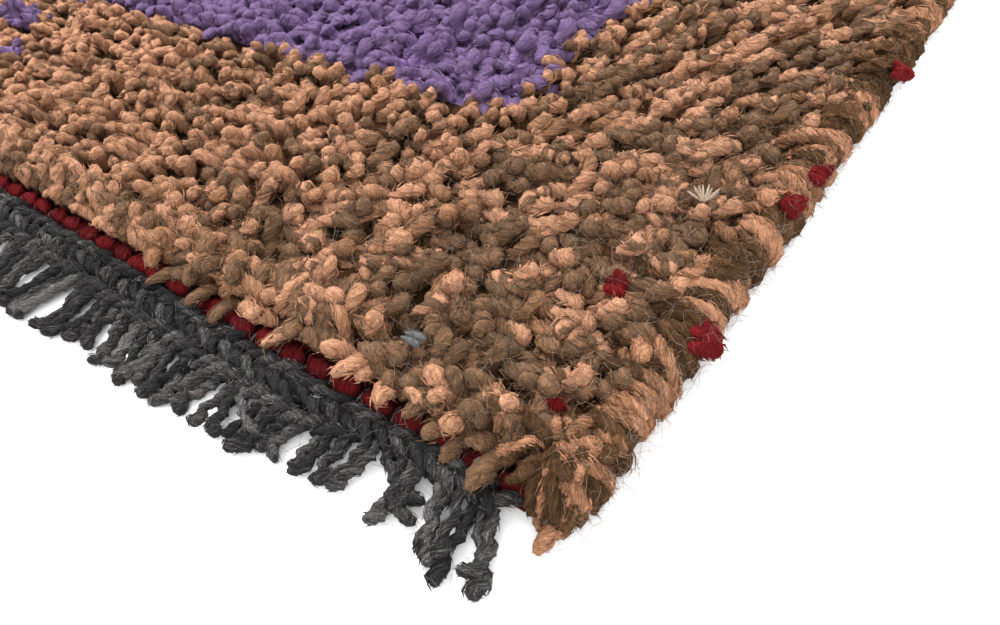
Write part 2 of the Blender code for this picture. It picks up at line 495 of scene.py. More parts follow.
@dataclass(frozen=True)
class WoolFinish:
    """One dyed wool: three depths of its colour, how hairy it is, and how much shade and light is painted on
    it.
    """

    name: str
    dark: Triple
    middle: Triple
    light: Triple
    heather: float = 0.35
    # Shade painted at the roots and in the ply grooves; a root_shade below 0 paints light into the roots
    root_shade: float = 0.45
    tip_shade: float = 0.0
    groove_shade: float = 0.35
    relief: float = 1.0
    hair: float = 0.35
    sheen: float = 0.35

    def material(self) -> bpy.types.Material:
        """Makes the material, with the shared wool group in it.

        Returns:
            The material.
        """
        made = bpy.data.materials.new(self.name)
        made.use_nodes = True
        tree = made.node_tree
        shader = tree.nodes["Principled BSDF"]
        inputs = {
            "Dark": (*self.dark, 1.0),
            "Middle": (*self.middle, 1.0),
            "Light": (*self.light, 1.0),
            "Heather": self.heather,
            "Root Shade": self.root_shade,
            "Tip Shade": self.tip_shade,
            "Groove Shade": self.groove_shade,
            "Fibre Relief": self.relief,
            "Hair": self.hair,
        }
        wool = tree.nodes.new("ShaderNodeGroup")
        wool.node_tree = WOOL.tree
        for name, value in inputs.items():
            wool.inputs[name].default_value = value
        tree.links.new(wool.outputs["Colour"], shader.inputs["Base Color"])
        tree.links.new(wool.outputs["Normal"], shader.inputs["Normal"])
        shader.inputs["Roughness"].default_value = 0.92
        shader.inputs["Specular IOR Level"].default_value = 0.15
        shader.inputs["Sheen Weight"].default_value = self.sheen
        shader.inputs["Sheen Roughness"].default_value = 0.5
        return made


EARTH = WoolFinish(
    "earth_wool",
    dark=(0.146, 0.074, 0.029),
    middle=(0.430, 0.197, 0.088),
    light=(0.680, 0.332, 0.190),
    heather=0.34,
    # A little painted light at the roots, where the tufts shade each other
    root_shade=-0.1,
    groove_shade=0.2,
    sheen=0.08,
)
PURPLE = WoolFinish(
    "purple_wool",
    dark=(0.150, 0.091, 0.202),
    middle=(0.168, 0.103, 0.222),
    light=(0.188, 0.117, 0.243),
    heather=0.3,
    relief=0.8,
    # Strong painted light at the roots, lifting the shade between the field's tufts
    root_shade=-3.4,
    groove_shade=0.0,
    hair=0.1,
    sheen=0.0,
)
RED = WoolFinish(
    "red_weft",
    dark=(0.030, 0.001, 0.002),
    middle=(0.140, 0.004, 0.006),
    light=(0.270, 0.010, 0.012),
    root_shade=0.0,
    groove_shade=0.15,
    hair=0.2,
    sheen=0.0,
)
GREY = WoolFinish(
    "charcoal_wool",
    dark=(0.002, 0.002, 0.002),
    middle=(0.017, 0.015, 0.015),
    light=(0.180, 0.166, 0.162),
    heather=0.75,
    root_shade=0.1,
    tip_shade=0.5,
    groove_shade=0.45,
    hair=0.8,
    sheen=0.05,
)
STRAW = WoolFinish(
    "straw",
    dark=(0.620, 0.440, 0.300),
    middle=(0.800, 0.620, 0.460),
    light=(0.900, 0.750, 0.600),
    heather=0.1,
    hair=0.0,
    root_shade=0.0,
    groove_shade=0.0,
    sheen=0.0,
)
PALE_GREY = WoolFinish(
    "pale_grey_wool",
    dark=(0.035, 0.034, 0.037),
    middle=(0.090, 0.086, 0.088),
    light=(0.190, 0.180, 0.180),
    root_shade=0.1,
)
LOOSE = WoolFinish(
    "loose_wool",
    dark=(0.120, 0.066, 0.030),
    middle=(0.340, 0.195, 0.100),
    light=(0.640, 0.410, 0.245),
    root_shade=0.0,
    groove_shade=0.0,
)
EARTH_CORD = replace(
    EARTH,
    name="cord_wool",
    dark=(0.068, 0.034, 0.013),
    middle=(0.205, 0.098, 0.043),
    light=(0.640, 0.306, 0.172),
    root_shade=0.1,
    sheen=0.0,
).material()
GREY_WOOL = GREY.material()


# The corners of a fibre's section, in radians
THIRDS = (0.0, 2.1, 4.2)


def unit(vector: np.ndarray) -> np.ndarray:
    """The same direction, one long."""
    return vector / max(float(np.linalg.norm(vector)), 1e-12)


class ShapeMesh:
    """The points, faces and yarn coordinates of one shape while it is made."""

    def __init__(self) -> None:
        """Starts an empty shape."""
        self.points: list[Triple] = []
        self.faces: list[tuple[int, ...]] = []
        self.marks: list[tuple[float, float]] = []

    def face(self, corners: tuple[int, ...], marks: list[tuple[float, float]]) -> None:
        """Adds a face with its yarn coordinates, one pair for each corner."""
        self.faces.append(corners)
        self.marks.extend(marks)

    def tube(self, shares: list[float], sides: int) -> None:
        """Closes the rings of points that the shape holds into a tube with flat ends.

        Args:
            shares: How far along the yarn each ring is, from 0 to 1.
            sides: The points in a ring.
        """
        turns = [side / sides for side in range(sides + 1)]
        self.face(tuple(range(sides))[::-1], [(turn, 0.0) for turn in turns[:-1]][::-1])
        for ring, (low, high) in enumerate(zip(shares, shares[1:])):
            for side, (left, right) in enumerate(zip(turns, turns[1:])):
                base, after = ring * sides, (side + 1) % sides
                corners = (base + side, base + after, base + sides + after, base + sides + side)
                self.face(corners, [(left, low), (right, low), (right, high), (left, high)])
        last = (len(shares) - 1) * sides
        self.face(tuple(range(last, last + sides)), [(turn, 1.0) for turn in turns[:-1]])

    def sliver(
        self, base: np.ndarray, lift: np.ndarray, across: np.ndarray, width: float, mark: tuple[float, float]
    ) -> None:
        """Adds one fibre that stands off the yarn, as a closed sliver.

        Args:
            base: Its root.
            lift: The way from its root to its tip.
            across: A direction across it.
            width: Its width at the root.
            mark: Its yarn coordinates.
        """
        first = len(self.points)
        beside = np.cross(unit(lift), across)
        for angle in THIRDS:
            outward = math.cos(angle) * across + math.sin(angle) * beside
            self.points.append(tuple(base + width / 2 * outward))
        self.points.append(tuple(base + lift))
        for corners in ((0, 2, 1), (0, 1, 3), (1, 2, 3), (2, 0, 3)):
            self.face(tuple(first + corner for corner in corners), [mark] * 3)

    def build(self, name: str) -> bpy.types.Object:
        """Turns it into an object that isn't linked to the scene.

        Args:
            name: The object's name.

        Returns:
            The object.
        """
        mesh = bpy.data.meshes.new(name)
        mesh.from_pydata(self.points, [], self.faces)
        layer = mesh.uv_layers.new(name=YARN_UV)
        layer.data.foreach_set("uv", np.array(self.marks, np.float32).ravel())
        mesh.shade_smooth()
        return bpy.data.objects.new(name, mesh)


@dataclass(frozen=True)
class Section:
    """One cross-section of a yarn: its centre, its radius and how it is turned."""

    centre: np.ndarray
    radius: float
    across: np.ndarray
    beside: np.ndarray
    forward: np.ndarray
    turn: float
    share: float

    def outward(self, angle: float) -> np.ndarray:
        """The direction away from the centre, at an angle round the yarn."""
        return math.cos(angle) * self.across + math.sin(angle) * self.beside


@dataclass(frozen=True)
class FibreRoot:
    """A place just under a yarn's skin where a loose fibre can stand."""

    place: np.ndarray
    outward: np.ndarray
    forward: np.ndarray
    mark: tuple[float, float]


@dataclass(frozen=True)
class Yarn:
    """A yarn's section, twist and loose fibres, swept along any path."""

    radius: float
    ply_depth: float = 0.18
    twist: float = 340.0
    roughness: float = 0.06
    profile: Profile = ((0.0, 0.7), (0.3, 1.0), (0.8, 1.06), (0.94, 0.8), (1.0, 0.38))
    fibres: int = 0
    fibre_length: float = 0.0022
    fibre_width: float = 0.00014
    fibre_depth: float = 0.85
    wisps: int = 0
    wisp_radius: float = 0.00030

    def at(self, detail: Detail) -> "Yarn":
        """The same yarn, as finely as a place needs it.

        Args:
            detail: How finely it is made.

        Returns:
            The yarn, with fewer fibres or none, and rounder where it is plain.
        """
        if detail is Detail.PLAIN:
            return replace(self, ply_depth=0.0, fibres=0, wisps=0, radius=self.radius * 1.12)
        fibres, wisps = self.fibres * detail.fibre_share, self.wisps * detail.wisp_share
        return replace(self, fibres=round(fibres), wisps=round(wisps))

    def sweep(self, name: str, path: np.ndarray, sides: int, rng: random.Random) -> bpy.types.Object:
        """Makes a closed length of yarn along a path.

        Args:
            name: The shape's name.
            path: Its centre line, one point for each section, from root to tip.
            sides: The corners of its section.
            rng: The source of its unevenness.

        Returns:
            The shape's object.
        """
        made = ShapeMesh()
        sections = self._sections(path)
        roots = self._add_rings(made, sections, sides, rng)
        made.tube([section.share for section in sections], sides)
        self._add_fibres(made, roots, rng)
        for _ in range(self.wisps):
            self._add_wisp(made, sections, rng)
        return made.build(name)

    def _sections(self, path: np.ndarray) -> list[Section]:
        """Works out the yarn's cross-sections.

        Args:
            path: Its centre line.

        Returns:
            A section for each point of the path.
        """
        lengths = np.concatenate([[0.0], np.cumsum(np.linalg.norm(np.diff(path, axis=0), axis=1))])
        places, sizes = zip(*self.profile)
        across = np.array((1.0, 0.1, 0.03))
        made = []
        for centre, tangent, length in zip(path, np.gradient(path, axis=0), lengths):
            share = length / lengths[-1]
            forward = unit(tangent)
            across = unit(across - forward * across.dot(forward))
            beside = np.cross(forward, across)
            radius = self.radius * float(np.interp(share, places, sizes))
            made.append(Section(centre, radius, across, beside, forward, self.twist * length, share))
        return made

    def _add_rings(
        self, made: ShapeMesh, sections: list[Section], sides: int, rng: random.Random
    ) -> list[FibreRoot]:
        """Adds a ring of points round each section, with the hollow between the plies.

        Args:
            made: The shape that takes them.
            sections: The yarn's sections.
            sides: The points in a ring.
            rng: The source of its unevenness.

        Returns:
            The places where fibres can stand: all but those of the first ring.
        """
        roots = []
        for section in sections:
            for side in range(sides):
                angle = 2 * math.pi * side / sides
                lobe = 1.0 - self.ply_depth * (1.0 - math.cos(2 * angle))
                reach = section.radius * lobe * (1.0 + rng.uniform(-1, 1) * self.roughness)
                outward = section.outward(angle + section.turn)
                made.points.append(tuple(section.centre + reach * outward))
                place = section.centre + outward * reach * self.fibre_depth
                roots.append(FibreRoot(place, outward, section.forward, (side / sides, section.share)))
        return roots[sides:]

    def _add_wisp(self, made: ShapeMesh, sections: list[Section], rng: random.Random) -> None:
        """Winds one bent hair along the yarn, with its tip standing off.

        Args:
            made: The shape that takes it.
            sections: The yarn's sections.
            rng: The source of its place and size.
        """
        first = rng.randint(0, len(sections) - 3)
        held = sections[first:first + 3]
        start = rng.uniform(0, 2 * math.pi)
        drift = rng.uniform(-0.9, 0.9)
        width = self.wisp_radius * rng.uniform(0.35, 1.0)
        stands = (0.85, 1.02, rng.uniform(1.05, 1.5))
        middles = []
        for step, (section, stand) in enumerate(zip(held, stands)):
            outward = section.outward(start + section.turn + drift * step)
            middles.append(section.centre + outward * max(section.radius, self.radius * 0.7) * stand)
        base = len(made.points)
        for section, middle, thickness in zip(held, middles, (0.7, 1.0)):
            for angle in THIRDS:
                made.points.append(tuple(middle + section.outward(start + angle) * width * thickness))
        made.points.append(tuple(middles[2] + held[2].forward * self.radius * rng.uniform(0.0, 0.5)))
        side = rng.random()
        low, mid, high = ((side, section.share) for section in held)
        made.face((base + 2, base + 1, base), [low] * 3)
        for one in range(3):
            two = (one + 1) % 3
            made.face((base + one, base + two, base + 3 + two, base + 3 + one), [low, low, mid, mid])
            made.face((base + 3 + one, base + 3 + two, base + 6), [mid, mid, high])

    def _add_fibres(self, made: ShapeMesh, roots: list[FibreRoot], rng: random.Random) -> None:
        """Stands loose fibres off the yarn, more of them towards its tip.

        Args:
            made: The shape that takes them.
            roots: The places where one can stand, from the yarn's root to its tip.
            rng: The source of their places and leans.
        """
        for _ in range(self.fibres):
            root = roots[int(len(roots) * rng.random() ** 0.7)]
            aside = np.array([rng.uniform(-1, 1) for _ in range(3)])
            heading = unit(root.outward + root.forward * rng.uniform(-0.2, 1.6) + aside * 0.7)
            lift = heading * self.fibre_length * rng.uniform(0.5, 1.5)
            across = unit(np.cross(heading, root.outward) + aside * 0.01)
            made.sliver(root.place, lift, across, self.fibre_width, root.mark)


def rounded(rings: int) -> np.ndarray:
    """Shares along a yarn, closer together towards its rounded tip."""
    return 1.0 - (1.0 - np.linspace(0.0, 1.0, rings)) ** 1.5


def bent_path(length: float, rings: int, lean: float, bend: float, curl: float) -> np.ndarray:
    """A yarn's centre line that leaves its root upwards and falls over towards -Y.

    Args:
        length: Its length in metres.
        rings: How many points it has.
        lean: Its angle from upright at the root, in degrees.
        bend: How much further it leans at its tip, in degrees.
        curl: How far it swings round to the side by its tip, in degrees.

    Returns:
        Its points.
    """
    shares = rounded(rings)
    points = [np.zeros(3)]
    for before, after in zip(shares, shares[1:]):
        middle = (before + after) / 2
        tilt = math.radians(lean + bend * middle)
        swing = math.radians(curl * middle)
        heading = np.array(
            (math.sin(tilt) * math.sin(swing), -math.sin(tilt) * math.cos(swing), math.cos(tilt))
        )
        points.append(points[-1] + heading * length * (after - before))
    return np.array(points)


def arch_path(
    half_width: float, rise: float, slant: float, start: float, end: float, rings: int
) -> np.ndarray:
    """Part of an ellipse round a cord that runs along Y.

    Args:
        half_width: The ellipse's half width, across the cord.
        rise: Its half height.
        slant: How far the yarn travels along the cord.
        start: The angle where it starts, in degrees, from +X upwards.
        end: The angle where it ends.
        rings: How many points it has.

    Returns:
        Its points, about the cord's centre.
    """
    points = []
    for share in np.linspace(0.0, 1.0, rings):
        angle = math.radians(start + (end - start) * share)
        points.append((half_width * math.cos(angle), slant * (share - 0.5), rise * math.sin(angle)))
    return np.array(points)


def wavy_path(length: float, rings: int, drop: float, sway: float, rng: random.Random) -> np.ndarray:
    """A strand that lies out along -Y on the floor, swaying to both sides.

    Args:
        length: Its length in metres.
        rings: How many points it has.
        drop: How far it falls from its root to the floor.
        sway: How far it bends aside, in degrees.
        rng: The source of its bends.

    Returns:
        Its points.
    """
    shares = rounded(rings)
    start, middle, end = (math.radians(rng.uniform(-sway, sway) * much) for much in (0.3, 1.0, 2.2))
    points = [np.zeros(3)]
    for before, after in zip(shares, shares[1:]):
        swing = float(np.interp((before + after) / 2, (0.0, 0.5, 1.0), (start, middle, end)))
        step = length * (after - before)
        points.append(points[-1] + step * np.array((math.sin(swing), -math.cos(swing), 0.0)))
    made = np.array(points)
    fall = np.clip(shares / 0.35, 0.0, 1.0)
    made[:, 2] = -drop * fall * fall * (3 - 2 * fall) + np.sin(shares * rng.uniform(3, 7)) * 0.0005 * shares
    crimp = np.sin(shares * rng.uniform(14, 22) + rng.uniform(0, 6)) * 0.0007
    made[:, 0] += crimp * np.clip(shares * 3, 0.0, 1.0)
    return made


class ScatterTree:
    """The Geometry Nodes tree that sets yarn shapes on points and makes them one mesh."""

    INPUTS = (
        ("Points", "NodeSocketGeometry"),
        ("Shapes", "NodeSocketCollection"),
        ("Size Spread", "NodeSocketFloat"),
        ("Turn Spread", "NodeSocketFloat"),
        ("Seed", "NodeSocketInt"),
        ("Wool", "NodeSocketMaterial"),
    )

    def __init__(self) -> None:
        """Builds the tree once, with a socket for each of its inputs."""
        self.tree = bpy.data.node_groups.new("scatter_yarn", "GeometryNodeTree")
        self.sockets = {
            name: self.tree.interface.new_socket(name, in_out="INPUT", socket_type=kind)
            for name, kind in self.INPUTS
        }
        self.tree.interface.new_socket("Mesh", in_out="OUTPUT", socket_type="NodeSocketGeometry")
        self._fill()

    def _named(self, name: str, kind: str) -> Socket:
        """Reads a number that each point carries."""
        made = add_node(self.tree, "GeometryNodeInputNamedAttribute", {"Name": name}, data_type=kind)
        return made.outputs[0]

    def _fill(self) -> None:
        """Links the tree's nodes."""
        tree = self.tree
        given = add_node(tree, "NodeGroupInput").outputs
        shapes = add_node(tree, "GeometryNodeCollectionInfo", {"Collection": given["Shapes"]})
        shapes.inputs["Separate Children"].default_value = True
        shapes.inputs["Reset Children"].default_value = True
        spread = add_node(tree, "FunctionNodeRandomValue", data_type="FLOAT_VECTOR")
        low = math_node(tree, "MULTIPLY", given["Turn Spread"], -1.0)
        tree.links.new(low, spread.inputs[0])
        tree.links.new(given["Turn Spread"], spread.inputs[1])
        tree.links.new(given["Seed"], spread.inputs["Seed"])
        turn = add_node(
            tree, "ShaderNodeVectorMath", {0: self._named("turn", "FLOAT_VECTOR"), 1: spread.outputs[0]}
        )
        rotation = add_node(tree, "FunctionNodeEulerToRotation", {0: turn.outputs[0]})
        size_low = math_node(tree, "SUBTRACT", 1.0, given["Size Spread"])
        size_high = math_node(tree, "ADD", 1.0, given["Size Spread"])
        sizes = add_node(tree, "FunctionNodeRandomValue", data_type="FLOAT")
        tree.links.new(size_low, sizes.inputs[2])
        tree.links.new(size_high, sizes.inputs[3])
        tree.links.new(given["Seed"], sizes.inputs["Seed"])
        scale = add_node(
            tree,
            "ShaderNodeVectorMath",
            {0: self._named("size", "FLOAT_VECTOR"), "Scale": sizes.outputs[1]},
            operation="SCALE",
        )
        placed = add_node(
            tree,
            "GeometryNodeInstanceOnPoints",
            {
                "Points": given["Points"],
                "Instance": shapes.outputs[0],
                "Pick Instance": True,
                "Instance Index": self._named("shape", "INT"),
                "Rotation": rotation.outputs[0],
                "Scale": scale.outputs[0],
            },
        )
        real = add_node(tree, "GeometryNodeRealizeInstances", {"Geometry": placed.outputs[0]})
        dressed = add_node(
            tree, "GeometryNodeSetMaterial", {"Geometry": real.outputs[0], "Material": given["Wool"]}
        )
        add_node(tree, "NodeGroupOutput", {"Mesh": dressed.outputs[0]})


SCATTER = ScatterTree()


@dataclass
class Spot:
    """One yarn's place: where it is rooted, how it is turned and sized, and its dye."""

    place: Triple
    turn: Triple = (0.0, 0.0, 0.0)
    size: Triple = (1.0, 1.0, 1.0)
    shape: int = 0
    tone: float = 0.5
    marl: float = 0.5
    chance: float = 0.0


@dataclass
class YarnPiece:
    """One piece of the dressed rug, made of many lengths of one yarn."""

    name: str
    shapes: list[bpy.types.Object]
    finish: bpy.types.Material
    slot: Slot
    replaces: tuple[str, ...] = ()
    size_spread: float = 0.08
    turn_spread: float = 0.08
    seed: int = 1
    spots: list[Spot] = field(default_factory=list)

    def _points(self) -> bpy.types.Object:
        """Makes a mesh of bare points that carries what the tree reads.

        Returns:
            Its object, which isn't linked to the scene.
        """
        mesh = bpy.data.meshes.new(self.name + "_points")
        mesh.vertices.add(len(self.spots))
        mesh.vertices.foreach_set("co", np.array([s.place for s in self.spots], np.float32).ravel())
        for name in ("turn", "size"):
            layer = mesh.attributes.new(name, "FLOAT_VECTOR", "POINT")
            values = np.array([getattr(s, name) for s in self.spots], np.float32)
            layer.data.foreach_set("vector", values.ravel())
        for name in ("tone", "marl", "chance"):
            layer = mesh.attributes.new(name, "FLOAT", "POINT")
            layer.data.foreach_set("value", np.array([getattr(s, name) for s in self.spots], np.float32))
        layer = mesh.attributes.new("shape", "INT", "POINT")
        layer.data.foreach_set("value", np.array([s.shape for s in self.spots], np.int32))
        return bpy.data.objects.new(self.name, mesh)

    def build(self) -> bpy.types.Object:
        """Runs the tree on the points and keeps its result as a plain mesh.

        Returns:
            The finished piece, riding on the rug's body.
        """
        stock = bpy.data.collections.new(self.name + "_shapes")
        for shape in self.shapes:
            stock.objects.link(shape)
        piece = self._points()
        bpy.context.scene.collection.objects.link(piece)
        modifier = piece.modifiers.new("scatter", "NODES")
        modifier.node_group = SCATTER.tree
        given = {
            "Shapes": stock,
            "Size Spread": self.size_spread,
            "Turn Spread": self.turn_spread,
            "Seed": self.seed,
            "Wool": self.finish,
        }
        for name, value in given.items():
            modifier[SCATTER.sockets[name].identifier] = value
        graph = bpy.context.evaluated_depsgraph_get()
        made = bpy.data.meshes.new_from_object(
            piece.evaluated_get(graph), preserve_all_data_layers=True, depsgraph=graph
        )
        piece.modifiers.clear()
        places = np.empty((len(made.vertices), 3), np.float32)
        made.vertices.foreach_get("co", places.ravel())
        places[:, 2] = np.maximum(places[:, 2], FLOOR_CLEARANCE)
        made.vertices.foreach_set("co", places.ravel())
        piece.data = made
        made.name = self.name
        for spare in ("turn", "size", "shape"):
            if spare in made.attributes:
                made.attributes.remove(made.attributes[spare])
        for shape in list(stock.objects):
            stock.objects.unlink(shape)
        bpy.data.collections.remove(stock)
        seat(piece, self.slot, *self.replaces)
        return piece


def seat(piece: bpy.types.Object, slot: Slot, *nodes: str) -> None:
    """Rides a finished piece on the rug's body and logs it.

    Args:
        piece: The piece, in place.
        slot: The record's slot, which is not used.
        *nodes: The solids that it stands for.
    """
    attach(piece, BODY)
    if nodes:
        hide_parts(*nodes)
    piece.data.calc_loop_triangles()
    LOG.info("%s: %d triangles", piece.name, len(piece.data.loop_triangles))


def swell(low: float, high: float, value: float) -> float:
    """A smooth step from 0 at low to 1 at high."""
    share = kept((value - low) / (high - low), 0.0, 1.0)
    return share * share * (3 - 2 * share)


def kept(value: float, low: float, high: float) -> float:
    """The value, kept between two limits."""
    return min(max(value, low), high)


def wander(x: float, y: float, scale: float, layer: float) -> float:
    """A smooth wander between about -1 and 1 over the rug."""
    return noise.noise(Vector((x / scale, y / scale, layer)))


@dataclass
class YarnWork:
    """One kind of yarn work, split into pieces by how finely each part of it is made."""

    name: str
    finish: bpy.types.Material
    slot: Slot
    draw: Callable[[str, Detail, random.Random], bpy.types.Object]
    shapes_each: int = 8
    size_spread: float = 0.08
    turn_spread: float = 0.08
    piece_limit: int = 180_000
    close: float = 0.235
    near: float = 0.305
    margin: float = 0.04
    viewed_height: float = 0.010
    seed: int = 3
    spots: dict[Detail, list[Spot]] = field(default_factory=dict)

    def detail(self, x: float, y: float) -> Detail:
        """Tells how finely the yarn is made at a place.

        Args:
            x: The place across the rug.
            y: The place along it.

        Returns:
            Its detail, by how far it is from the photo's camera.
        """
        depth = CAMERA.distance_in_view(Vector((x, y, self.viewed_height)), self.margin)
        if depth is None:
            return Detail.PLAIN
        if depth < self.close:
            return Detail.CLOSE
        return Detail.FINE if depth < self.near else Detail.MIDDLE

    def add(self, spot: Spot) -> None:
        """Takes one length of yarn."""
        self.spots.setdefault(self.detail(*spot.place[:2]), []).append(spot)

    def lay(
        self, place: Triple, turn: Triple, size: Triple, dye: tuple[float, float], rng: random.Random
    ) -> None:
        """Takes one length of yarn, in a shape that is drawn by lot.

        Args:
            place: Where it is rooted.
            turn: How it is turned, in radians.
            size: How it is sized.
            dye: The tones of its two plies.
            rng: The source of its shape and its own number.
        """
        self.add(Spot(place, turn, size, rng.randrange(self.shapes_each), *dye, chance=rng.random()))

    def build(self) -> list[bpy.types.Object]:
        """Makes the pieces, each below the limit of triangles.

        Returns:
            The pieces, from one detail to the next.
        """
        made = []
        for detail, spots in self.spots.items():
            rng = random.Random(self.seed + detail.sides)
            label = f"{self.name}_{detail.name.lower()}"
            shapes = [self.draw(f"{label}_{index:02d}", detail, rng) for index in range(self.shapes_each)]
            for shape in shapes:
                shape.data.calc_loop_triangles()
            cost = max(len(shape.data.loop_triangles) for shape in shapes)
            parts = math.ceil(len(spots) * cost / self.piece_limit)
            share = math.ceil(len(spots) / parts)
            for part in range(parts):
                piece = YarnPiece(
                    label if parts == 1 else f"{label}_{part + 1}",
                    shapes,
                    self.finish,
                    self.slot,
                    size_spread=self.size_spread,
                    turn_spread=self.turn_spread,
                    seed=self.seed + part,
                    spots=spots[part * share:(part + 1) * share],
                )
                made.append(piece.build())
        return made


@dataclass(frozen=True)
class GroundFinish:
    """The woven ground's look: wool and weft seen between the tufts and from below, with painted shade on
    the border's top and painted light on the field's.
    """

    earth: tuple[Paint, Paint] = ((0.09, 0.058, 0.030, 1), (0.30, 0.165, 0.100, 1))
    purple: tuple[Paint, Paint] = ((0.085, 0.052, 0.118, 1), (0.120, 0.075, 0.160, 1))
    weft: Paint = (0.12, 0.008, 0.010, 1)
    # Multiplied into the top's colour: painted shade in the border, painted light in the field
    border_painted_shade: Paint = (0.22, 0.17, 0.12, 1)
    field_painted_light: Paint = (1.4, 1.4, 1.4, 1)
    back_height: float = 0.0005
    patches_per_metre: float = 110.0
    relief_depth: float = 0.0015

    @staticmethod
    def _beyond(tree: bpy.types.NodeTree, place: Socket, limit: float) -> Socket:
        """1 where a coordinate is farther from 0 than the limit."""
        return math_node(tree, "GREATER_THAN", math_node(tree, "ABSOLUTE", place), limit)

    def material(self) -> bpy.types.Material:
        """Makes the material, in the design's colours.

        Returns:
            The material.
        """
        made = bpy.data.materials.new("woven_ground")
        made.use_nodes = True
        tree = made.node_tree
        place = add_node(tree, "ShaderNodeTexCoord").outputs["Object"]
        x, y, z = add_node(tree, "ShaderNodeSeparateXYZ", {0: place}).outputs
        in_border = math_node(
            tree,
            "MAXIMUM",
            self._beyond(tree, x, DESIGN.field_x),
            self._beyond(tree, y, DESIGN.field_y),
        )
        below = math_node(tree, "LESS_THAN", z, self.back_height)
        patch = noise_node(tree, place, self.patches_per_metre, 2.0)
        earthy = mix_colours(tree, ramp_between(tree, patch, 0.42, 0.58), *self.earth)
        dyed = mix_colours(tree, in_border, mix_colours(tree, patch, *self.purple), earthy)
        shots = math_node(tree, "SINE", math_node(tree, "MULTIPLY", y, 2 * math.pi / GAUGE.row))
        between = math_node(tree, "MULTIPLY", ramp_between(tree, shots, 0.55, 0.9), below)
        bare = math_node(tree, "MAXIMUM", self._beyond(tree, y, GAUGE.half_pile), between)
        dyed = mix_colours(tree, bare, dyed, self.weft)
        # Painted shade between the border's tufts and painted light between the field's, on the top only
        depth = mix_colours(tree, in_border, self.field_painted_light, self.border_painted_shade)
        shaded = mix_colours(tree, 1.0, dyed, depth, blend="MULTIPLY")
        ends = math_node(tree, "SINE", math_node(tree, "MULTIPLY", x, 4 * math.pi / GAUGE.knot))
        weave = math_node(tree, "MULTIPLY", ends, shots)
        height = math_node(tree, "MULTIPLY_ADD", weave, 0.5, noise_node(tree, place, 900.0, 2.0))
        inputs = {"Strength": 0.9, "Distance": self.relief_depth, "Height": height}
        bump = add_node(tree, "ShaderNodeBump", inputs)
        shader = tree.nodes["Principled BSDF"]
        # The back, on the floor, keeps the plain dye; the top takes the painted light and shade
        tree.links.new(mix_colours(tree, below, shaded, dyed), shader.inputs["Base Color"])
        tree.links.new(bump.outputs[0], shader.inputs["Normal"])
        shader.inputs["Roughness"].default_value = 0.95
        shader.inputs["Specular IOR Level"].default_value = 0.1
        return made


@dataclass
class WovenGround:
    """The woven cloth that the knots are tied on, with its back on the floor."""

    thickness: float = 0.0058
    lip_thickness: float = 0.0030
    unevenness: float = 0.0010
    fall: float = 0.0060
    cell: float = 0.024

    def _height(self, x: float, y: float) -> float:
        """Tells how thick the cloth and its knots are at a place.

        Args:
            x: The place across the rug.
            y: The place along it.

        Returns:
            The thickness in metres.
        """
        under_pile = 1.0 - swell(GAUGE.half_pile - self.fall, GAUGE.half_pile, abs(y))
        full = self.thickness + self.unevenness * wander(x, y, 0.02, 2.0)
        return self.lip_thickness + (full - self.lip_thickness) * under_pile

    def build(self) -> bpy.types.Object:
        """Makes the cloth as one closed sheet.

        Returns:
            The piece.
        """
        half_x, half_y = BODY_HIGH.x, BODY_HIGH.y
        edge = [GAUGE.half_pile - step * self.fall for step in range(3)]
        inner = list(np.linspace(-edge[2], edge[2], round(2 * edge[2] / self.cell) + 1))
        along = sorted([-half_y, half_y, -edge[0], edge[0], -edge[1], edge[1], *inner])
        across = np.linspace(-half_x, half_x, round(2 * half_x / self.cell) + 1)
        columns, lines = len(across), len(along)
        points = [(x, y, self._height(x, y)) for y in along for x in across]
        count = columns * lines
        points += [(x, y, 0.0) for y in along for x in across]
        faces = []
        for line in range(lines - 1):
            for column in range(columns - 1):
                corner = line * columns + column
                square = (corner, corner + 1, corner + columns + 1, corner + columns)
                faces.append(square)
                faces.append(tuple(vertex + count for vertex in square[::-1]))
        rim = list(range(columns))
        rim += [line * columns + columns - 1 for line in range(1, lines)]
        rim += [(lines - 1) * columns + column for column in range(columns - 2, -1, -1)]
        rim += [line * columns for line in range(lines - 2, 0, -1)]
        for one, two in zip(rim, rim[1:] + rim[:1]):
            faces.append((one, one + count, two + count, two))
        mesh = bpy.data.meshes.new("woven_ground")
        mesh.from_pydata(points, [], faces)
        mesh.materials.append(GroundFinish().material())
        piece = bpy.data.objects.new("woven_ground", mesh)
        bpy.context.scene.collection.objects.link(piece)
        seat(piece, Slot.PILE, "rug_body")
        return piece


def drawn_tuft(name: str, detail: Detail, rng: random.Random) -> bpy.types.Object:
    """Makes one cut end of pile yarn, upright at its root.

    Args:
        name: The shape's name.
        detail: How finely it is made.
        rng: The source of its unevenness.

    Returns:
        The shape's object.
    """
    plump = 1.55 if detail is Detail.PLAIN else rng.uniform(0.86, 1.08)
    yarn = Yarn(
        GAUGE.yarn_radius * plump,
        ply_depth=0.12,
        roughness=0.11,
        profile=((0.0, 0.72), (0.35, 1.0), (0.7, 1.08), (0.86, 0.98), (0.95, 0.72), (1.0, 0.36)),
        fibres=9,
        fibre_length=0.0020,
        wisps=15,
    )
    length = GAUGE.pile_length * rng.uniform(0.88, 1.05)
    bend = rng.uniform(25, 105)
    path = bent_path(length, detail.rings, lean=rng.uniform(-10, 10), bend=bend, curl=rng.uniform(-80, 80))
    return yarn.at(detail).sweep(name, path, detail.sides, rng)


